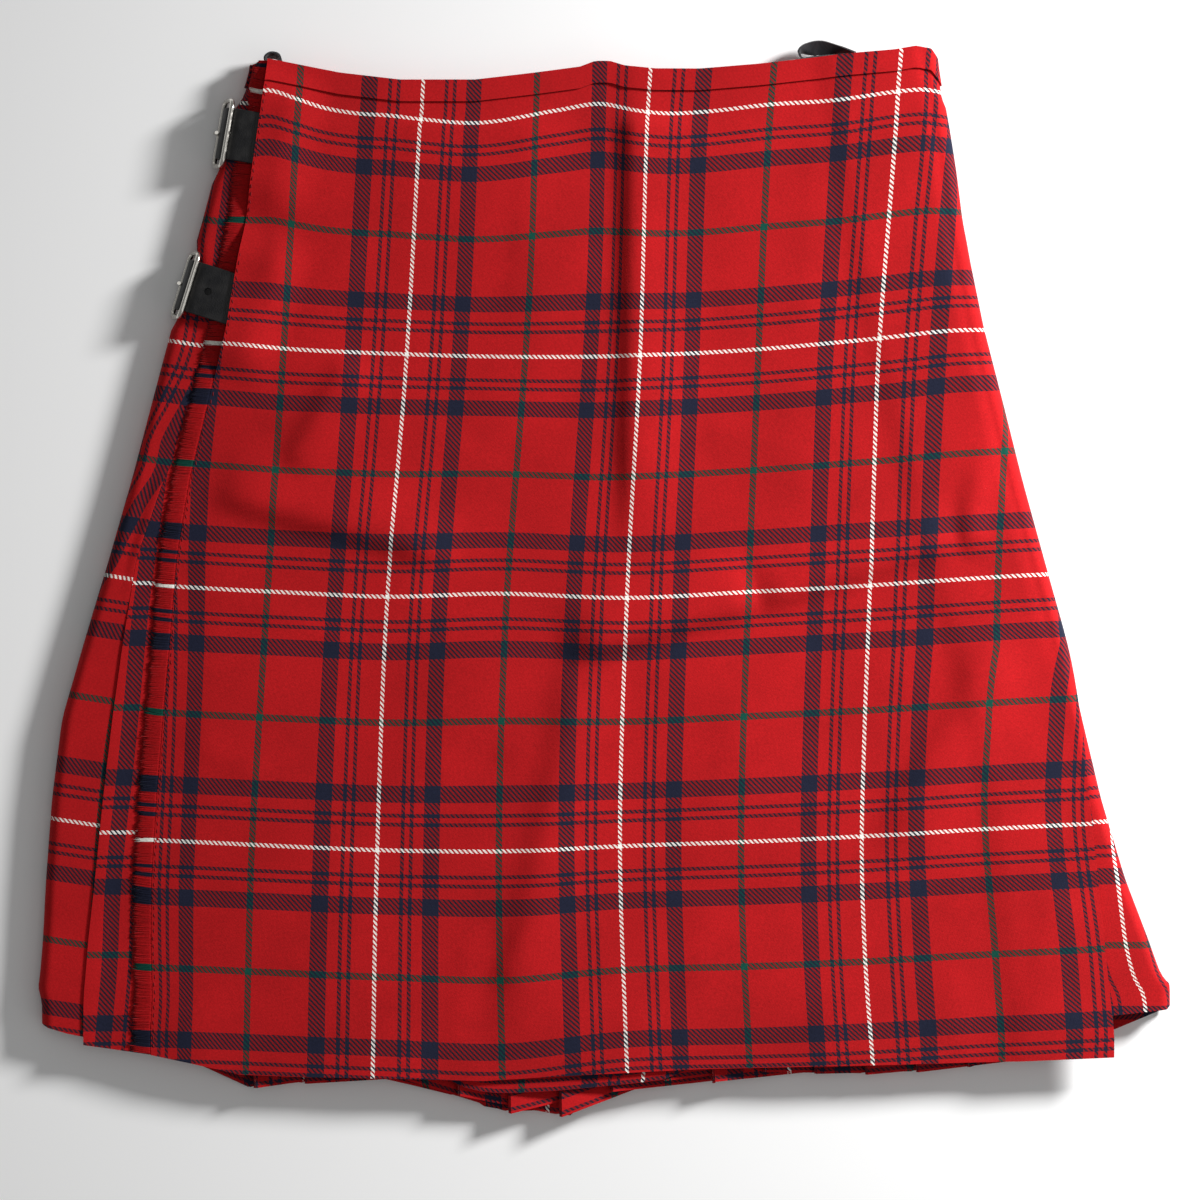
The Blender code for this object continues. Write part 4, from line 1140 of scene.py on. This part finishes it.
def punch_hole(obj, centre):
    """Cuts a round hole through the strip."""
    bpy.ops.object.select_all(action="DESELECT")
    bpy.ops.mesh.primitive_cylinder_add(
        vertices=32, radius=HOLE_RADIUS * MM, depth=4.0 * MM, location=centre * MM
    )
    punch = bpy.context.object
    cut = obj.modifiers.new("Hole", "BOOLEAN")
    cut.object = punch
    cut.operation = "DIFFERENCE"
    bpy.context.view_layer.objects.active = obj
    bpy.ops.object.modifier_apply(modifier=cut.name)
    bpy.data.objects.remove(punch, do_unlink=True)


for strap in STRAP_ROWS:
    end = BAR_ALONG - strap.apron_distance
    chape_path = [polar(*spot) for spot in CHAPE_ROUTE]
    chape_path += [(0.0, CHAPE_LEVEL), (end - CHAPE_TUCK, CHAPE_LEVEL)]
    chape = leather_strip("chape_" + strap.name + "_leather", strap, chape_path,
                          STRAP_WIDTH / 2 - CHAPE_INSET, CHAPE, 0.3)
    chape.data.materials.append(bridle_leather)
    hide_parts("chape_" + strap.name)
    strap_path = [polar(*spot) for spot in STRAP_ROUTE]
    strap_path += [(-3.0, STRAP_LEVEL), (end - STRAP_TUCK, STRAP_LEVEL)]
    band = leather_strip("strap_" + strap.name + "_leather", strap, strap_path,
                         STRAP_WIDTH / 2, LEATHER, 0.55)
    for distance in strap.holes:
        punch_hole(band, strap_place(strap, BAR_ALONG - distance, 0.0, STRAP_LEVEL))
    band.data.materials.append(bridle_leather)
    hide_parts("strap_" + strap.name)

# The buckles, bent from steel wire and nickel plated: a round-cornered frame, the bar
# that the chape is folded round, and a prong that lies through a hole in the strap.

PRONG_ROUTE = ((72.0, 14.6), (90.0, 14.9), (101.0, 16.1), (109.0, 16.2))
NEAR_BAR = (27.0, 14.0)
HINGE_BAR = (66.0, 9.3)
FRAME_WIRE = 1.5
FRAME_LENGTH = 43.0
FRAME_CORNER = 5.0
HINGE_WIRE = 1.0
PRONG_WIRE = 1.1


def nickel_plate():
    """Bright nickel plate: a warm mirror with fine rubbing marks that soften it a little."""
    material, tree = new_material("nickel_plated_steel")
    spot = add_node(tree, "ShaderNodeTexCoord").outputs["Object"]
    rubs = add_node(tree, "ShaderNodeTexNoise", {"Scale": 600.0, "Detail": 3.0},
                    {"Vector": spot})
    gloss = add_node(tree, "ShaderNodeMapRange", {1: 0.35, 2: 0.65, 3: 0.14, 4: 0.30},
                     {0: rubs.outputs["Fac"]})
    shader = add_node(tree, "ShaderNodeBsdfPrincipled",
                      {"Base Color": srgb("DEDAD2"), "Metallic": 1.0},
                      {"Roughness": gloss.outputs[0]})
    add_node(tree, "ShaderNodeOutputMaterial", links={"Surface": shader.outputs["BSDF"]})
    return material


nickel = nickel_plate()


def wire(name, points, radius, closed, taper=1.0):
    """A round wire through points in millimetres, thinner towards its last end."""
    bpy.ops.object.select_all(action="DESELECT")
    bpy.ops.mesh.primitive_circle_add(vertices=len(points))
    obj = bpy.context.object
    obj.name = name
    obj.data.vertices.foreach_set("co", (np.asarray(points) * MM).ravel())
    if not closed:
        ends = {0, len(points) - 1}
        for edge in obj.data.edges:
            edge.select = set(edge.vertices) == ends
        bpy.ops.object.mode_set(mode="EDIT")
        bpy.ops.mesh.select_mode(type="EDGE")
        bpy.ops.mesh.select_all(action="DESELECT")
        bpy.ops.object.mode_set(mode="OBJECT")
        for edge in obj.data.edges:
            edge.select = set(edge.vertices) == ends
        bpy.ops.object.mode_set(mode="EDIT")
        bpy.ops.mesh.delete(type="EDGE")
        bpy.ops.object.mode_set(mode="OBJECT")
    bpy.ops.object.convert(target="CURVE")
    curve = bpy.context.object
    curve.data.bevel_depth = radius * MM
    curve.data.bevel_resolution = 4
    curve.data.use_fill_caps = not closed
    spline = curve.data.splines[0]
    first = np.array(spline.points[0].co[:3])
    backwards = np.linalg.norm(first - points[0] * MM) > np.linalg.norm(first - points[-1] * MM)
    for index, point in enumerate(spline.points):
        part = index / (len(spline.points) - 1)
        point.radius = 1.0 + (taper - 1.0) * (1.0 - part if backwards else part) ** 2
    bpy.ops.object.convert(target="MESH")
    obj = bpy.context.object
    bpy.ops.object.mode_set(mode="EDIT")
    bpy.ops.mesh.select_all(action="SELECT")
    bpy.ops.mesh.remove_doubles(threshold=0.00001)
    bpy.ops.mesh.normals_make_consistent(inside=False)
    bpy.ops.object.mode_set(mode="OBJECT")
    bpy.ops.object.shade_smooth_by_angle(angle=math.radians(50.0))
    obj.data.materials.append(nickel)
    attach(obj, "root")
    return obj


def frame_ring(strap):
    """A rounded rectangle of points from the outer bar to the near one."""
    outer = np.array(polar(*OUTER_BAR))
    near = np.array(polar(*NEAR_BAR))
    depth = float(np.linalg.norm(outer - near))
    half = FRAME_LENGTH / 2 - FRAME_WIRE
    corners = (
        (depth - FRAME_CORNER, half - FRAME_CORNER, 0.0),
        (FRAME_CORNER, half - FRAME_CORNER, 90.0),
        (FRAME_CORNER, FRAME_CORNER - half, 180.0),
        (depth - FRAME_CORNER, FRAME_CORNER - half, 270.0),
    )
    points = []
    for reach, side, start in corners:
        for angle in np.radians(np.linspace(start, start + 90.0, 12)):
            part = (reach + FRAME_CORNER * math.cos(angle)) / depth
            along, z = outer + (near - outer) * part
            points.append(strap_place(strap, along, side + FRAME_CORNER * math.sin(angle), z))
    return np.array(points)


for strap in STRAP_ROWS:
    buckle_frame = wire("buckle_" + strap.name + "_frame_wire", frame_ring(strap),
                        FRAME_WIRE, True)
    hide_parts("buckle_" + strap.name + "_frame")
    hinge_half = FRAME_LENGTH / 2 - 2.0 * FRAME_WIRE - SEAM
    hinge_across = np.linspace(-hinge_half, hinge_half, 8)
    hinge_along, hinge_z = polar(*HINGE_BAR)
    hinge = wire("buckle_" + strap.name + "_bar_wire",
                 strap_place(strap, hinge_along, hinge_across, hinge_z), HINGE_WIRE, False)
    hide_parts("buckle_" + strap.name + "_bar")
    prong_line = smooth_path([polar(*spot) for spot in PRONG_ROUTE], 0.8)
    prong = wire("buckle_" + strap.name + "_prong_wire",
                 strap_place(strap, prong_line[:, 0], 0.0, prong_line[:, 1]),
                 PRONG_WIRE, False, taper=0.7)
    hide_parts("buckle_" + strap.name + "_prong")

# The hanger loops at the waist: black grosgrain ribbon folded over and sewn in behind the
# band, so that it stands on edge in soft curves, with its ribs running across it.

RIBBON = 1.0
LOOP_BOTTOM = 3.6
LOOP_TOP = 12.6
RIBBON_RIB = 0.9
# The ribbon leans this many times as far as its points say. The further it leans, the
# lower its upper edge comes, down to this height above its lower one
LEAN_MORE = 1.5
LOOP_LOWEST = 5.0
Loop = namedtuple("Loop", "x y lean_x lean_y")
RIGHT_LOOP = (
    Loop(138.6, 314.2, 0.0, -0.9), Loop(134.0, 314.0, 0.0, -0.9), Loop(126.0, 313.2, 0.0, -0.9),
    Loop(119.2, 312.6, 0.4, -0.5), Loop(116.8, 316.6, 1.2, 0.0), Loop(119.4, 320.4, 2.6, -3.0),
    Loop(124.8, 322.8, 1.4, -5.0), Loop(130.8, 323.4, -0.8, -5.2), Loop(138.6, 321.4, -2.6, -4.4),
    Loop(145.6, 318.6, -3.6, -1.6), Loop(151.5, 316.0, -3.2, 0.0),
)
LEFT_LOOP = (
    Loop(-202.4, 307.0, 0.4, 0.0), Loop(-203.9, 313.4, 0.6, -0.4), Loop(-200.6, 316.0, 0.8, -1.6),
    Loop(-195.6, 315.0, 0.4, -2.0), Loop(-193.4, 307.0, 0.0, 0.0),
)


def grosgrain():
    """Grosgrain: close black viscose cross ribs, painted shade between them, painted light on top.
    """
    material, tree = new_material("black_grosgrain_ribbon")
    threads = add_node(tree, "ShaderNodeUVMap", {"uv_map": "Threads"})
    place = add_node(tree, "ShaderNodeSeparateXYZ", links={0: threads.outputs["UV"]})
    count = add_node(tree, "ShaderNodeMath", {"operation": "MULTIPLY", 1: 1.0 / (RIBBON_RIB * MM)},
                     {0: place.outputs["Y"]})
    rib = add_node(tree, "ShaderNodeMath", {"operation": "PINGPONG", 1: 0.5},
                   {0: count.outputs[0]})
    # Painted light and shade: the colour is darkened in the hollows between ribs and lightened on
    # their tops
    tone = add_node(tree, "ShaderNodeMapRange", {1: 0.0, 2: 0.5, 3: 0.55, 4: 1.3},
                    {0: rib.outputs[0]})
    dyed_and_shaded = add_node(tree, "ShaderNodeVectorMath",
                    {"operation": "SCALE", 0: srgb("2A2A2D")[:3]}, {"Scale": tone.outputs[0]})
    raised = add_node(tree, "ShaderNodeBump", {"Strength": 0.6, "Distance": 0.0003},
                      {"Height": rib.outputs[0]})
    shader = add_node(tree, "ShaderNodeBsdfPrincipled",
                      {"Roughness": 0.5, "Sheen Weight": 0.25, "Sheen Roughness": 0.35},
                      {"Base Color": dyed_and_shaded.outputs["Vector"], "Normal": raised.outputs["Normal"]})
    add_node(tree, "ShaderNodeOutputMaterial", links={"Surface": shader.outputs["BSDF"]})
    return material


ribbon = grosgrain()
for name, loop in (("hanger_loop_right", RIGHT_LOOP), ("hanger_loop_left", LEFT_LOOP)):
    upper = smooth_path([(spot.x, spot.y) for spot in loop], 1.0)
    loop_length = distances([(spot.x, spot.y) for spot in loop])
    loop_places = np.linspace(0.0, loop_length[-1], len(upper))
    leans = np.stack([flowing(loop_places, loop_length, [spot.lean_x for spot in loop]),
                      flowing(loop_places, loop_length, [spot.lean_y for spot in loop])], axis=1)
    parts = np.linspace(0.0, 1.0, 7)[None, :, None]
    flat = upper[:, None, :] + leans[:, None, :] * LEAN_MORE * (1.0 - parts)
    spread = LEAN_MORE * np.linalg.norm(leans, axis=1)[:, None, None]
    tall = np.sqrt(np.maximum((LOOP_TOP - LOOP_BOTTOM) ** 2 - spread**2, LOOP_LOWEST**2))
    level = LOOP_BOTTOM + tall * parts
    loop_points = np.concatenate([flat, np.broadcast_to(level, flat.shape[:2] + (1,))], axis=2)
    loop_setts = np.stack(np.broadcast_arrays(parts[:, :, 0] * 0.01,
                                              loop_places[:, None] * MM), axis=2)
    hanger = cloth_shell(name + "_ribbon", loop_points, loop_setts, RIBBON)
    hanger.data.materials.append(ribbon)
    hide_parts(name)

# The studio: a pale floor, a low light from the upper right, weaker and softer ones from
# the lower right and above, and a camera straight above that frames the kilt as it lies.

FLOOR_GAP = 0.0004
CAMERA_SPOT = (-0.0024, -0.0132, 2.2)
FRAME_WIDTH = 0.72
SENSOR = 36.0

bpy.ops.object.select_all(action="DESELECT")
bpy.ops.mesh.primitive_plane_add(size=8.0, location=(0.0, 0.0, -FLOOR_GAP))
floor = bpy.context.object
floor.name = "studio_floor"
floor_material, floor_tree = new_material("white_card")
card = add_node(floor_tree, "ShaderNodeTexNoise", {"Scale": 3.0, "Detail": 2.0})
card_tone = add_node(floor_tree, "ShaderNodeMix",
                     {"data_type": "RGBA", 6: srgb("F4F4F4"), 7: srgb("F8F8F7")},
                     {0: card.outputs["Fac"]})
card_shader = add_node(floor_tree, "ShaderNodeBsdfPrincipled", {"Roughness": 0.9},
                       {"Base Color": card_tone.outputs[2]})
add_node(floor_tree, "ShaderNodeOutputMaterial", links={"Surface": card_shader.outputs["BSDF"]})
floor.data.materials.append(floor_material)


def soft_light(name, spot, target, size, power, spread=180.0):
    """A round area light at a spot, turned to its target, in metres, watts and degrees."""
    bpy.ops.object.light_add(type="AREA", location=spot)
    light = bpy.context.object
    light.name = name
    light.data.shape = "DISK"
    light.data.size = size
    light.data.energy = power
    light.data.spread = math.radians(spread)
    way = np.array(target) - np.array(spot)
    light.rotation_euler = (
        math.acos(-way[2] / np.linalg.norm(way)), 0.0, math.atan2(way[1], way[0]) - math.pi / 2
    )


soft_light("key_light", (1.45, 0.85, 0.78), (0.3, -0.12, 0.0), 0.4, 22.5, 105.0)
soft_light("side_light", (1.2, -0.7, 1.1), (0.2, -0.1, 0.0), 1.2, 2.5)
soft_light("top_light", (0.5, 0.2, 2.6), (0.1, 0.0, 0.0), 1.6, 3.8)
world = bpy.context.scene.world or bpy.data.worlds.new("Studio")
bpy.context.scene.world = world
world.use_nodes = True
world.node_tree.nodes["Background"].inputs["Color"].default_value = (1.0, 1.0, 1.0, 1.0)
world.node_tree.nodes["Background"].inputs["Strength"].default_value = 0.21

bpy.ops.object.camera_add(location=CAMERA_SPOT, rotation=(0.0, 0.0, 0.0))
camera = bpy.context.object
camera.data.sensor_width = SENSOR
camera.data.lens = SENSOR * (CAMERA_SPOT[2] - APRON_LEVEL * MM) / FRAME_WIDTH
camera.data.clip_end = 50.0
bpy.context.scene.camera = camera
bpy.context.scene.view_settings.view_transform = "Standard"
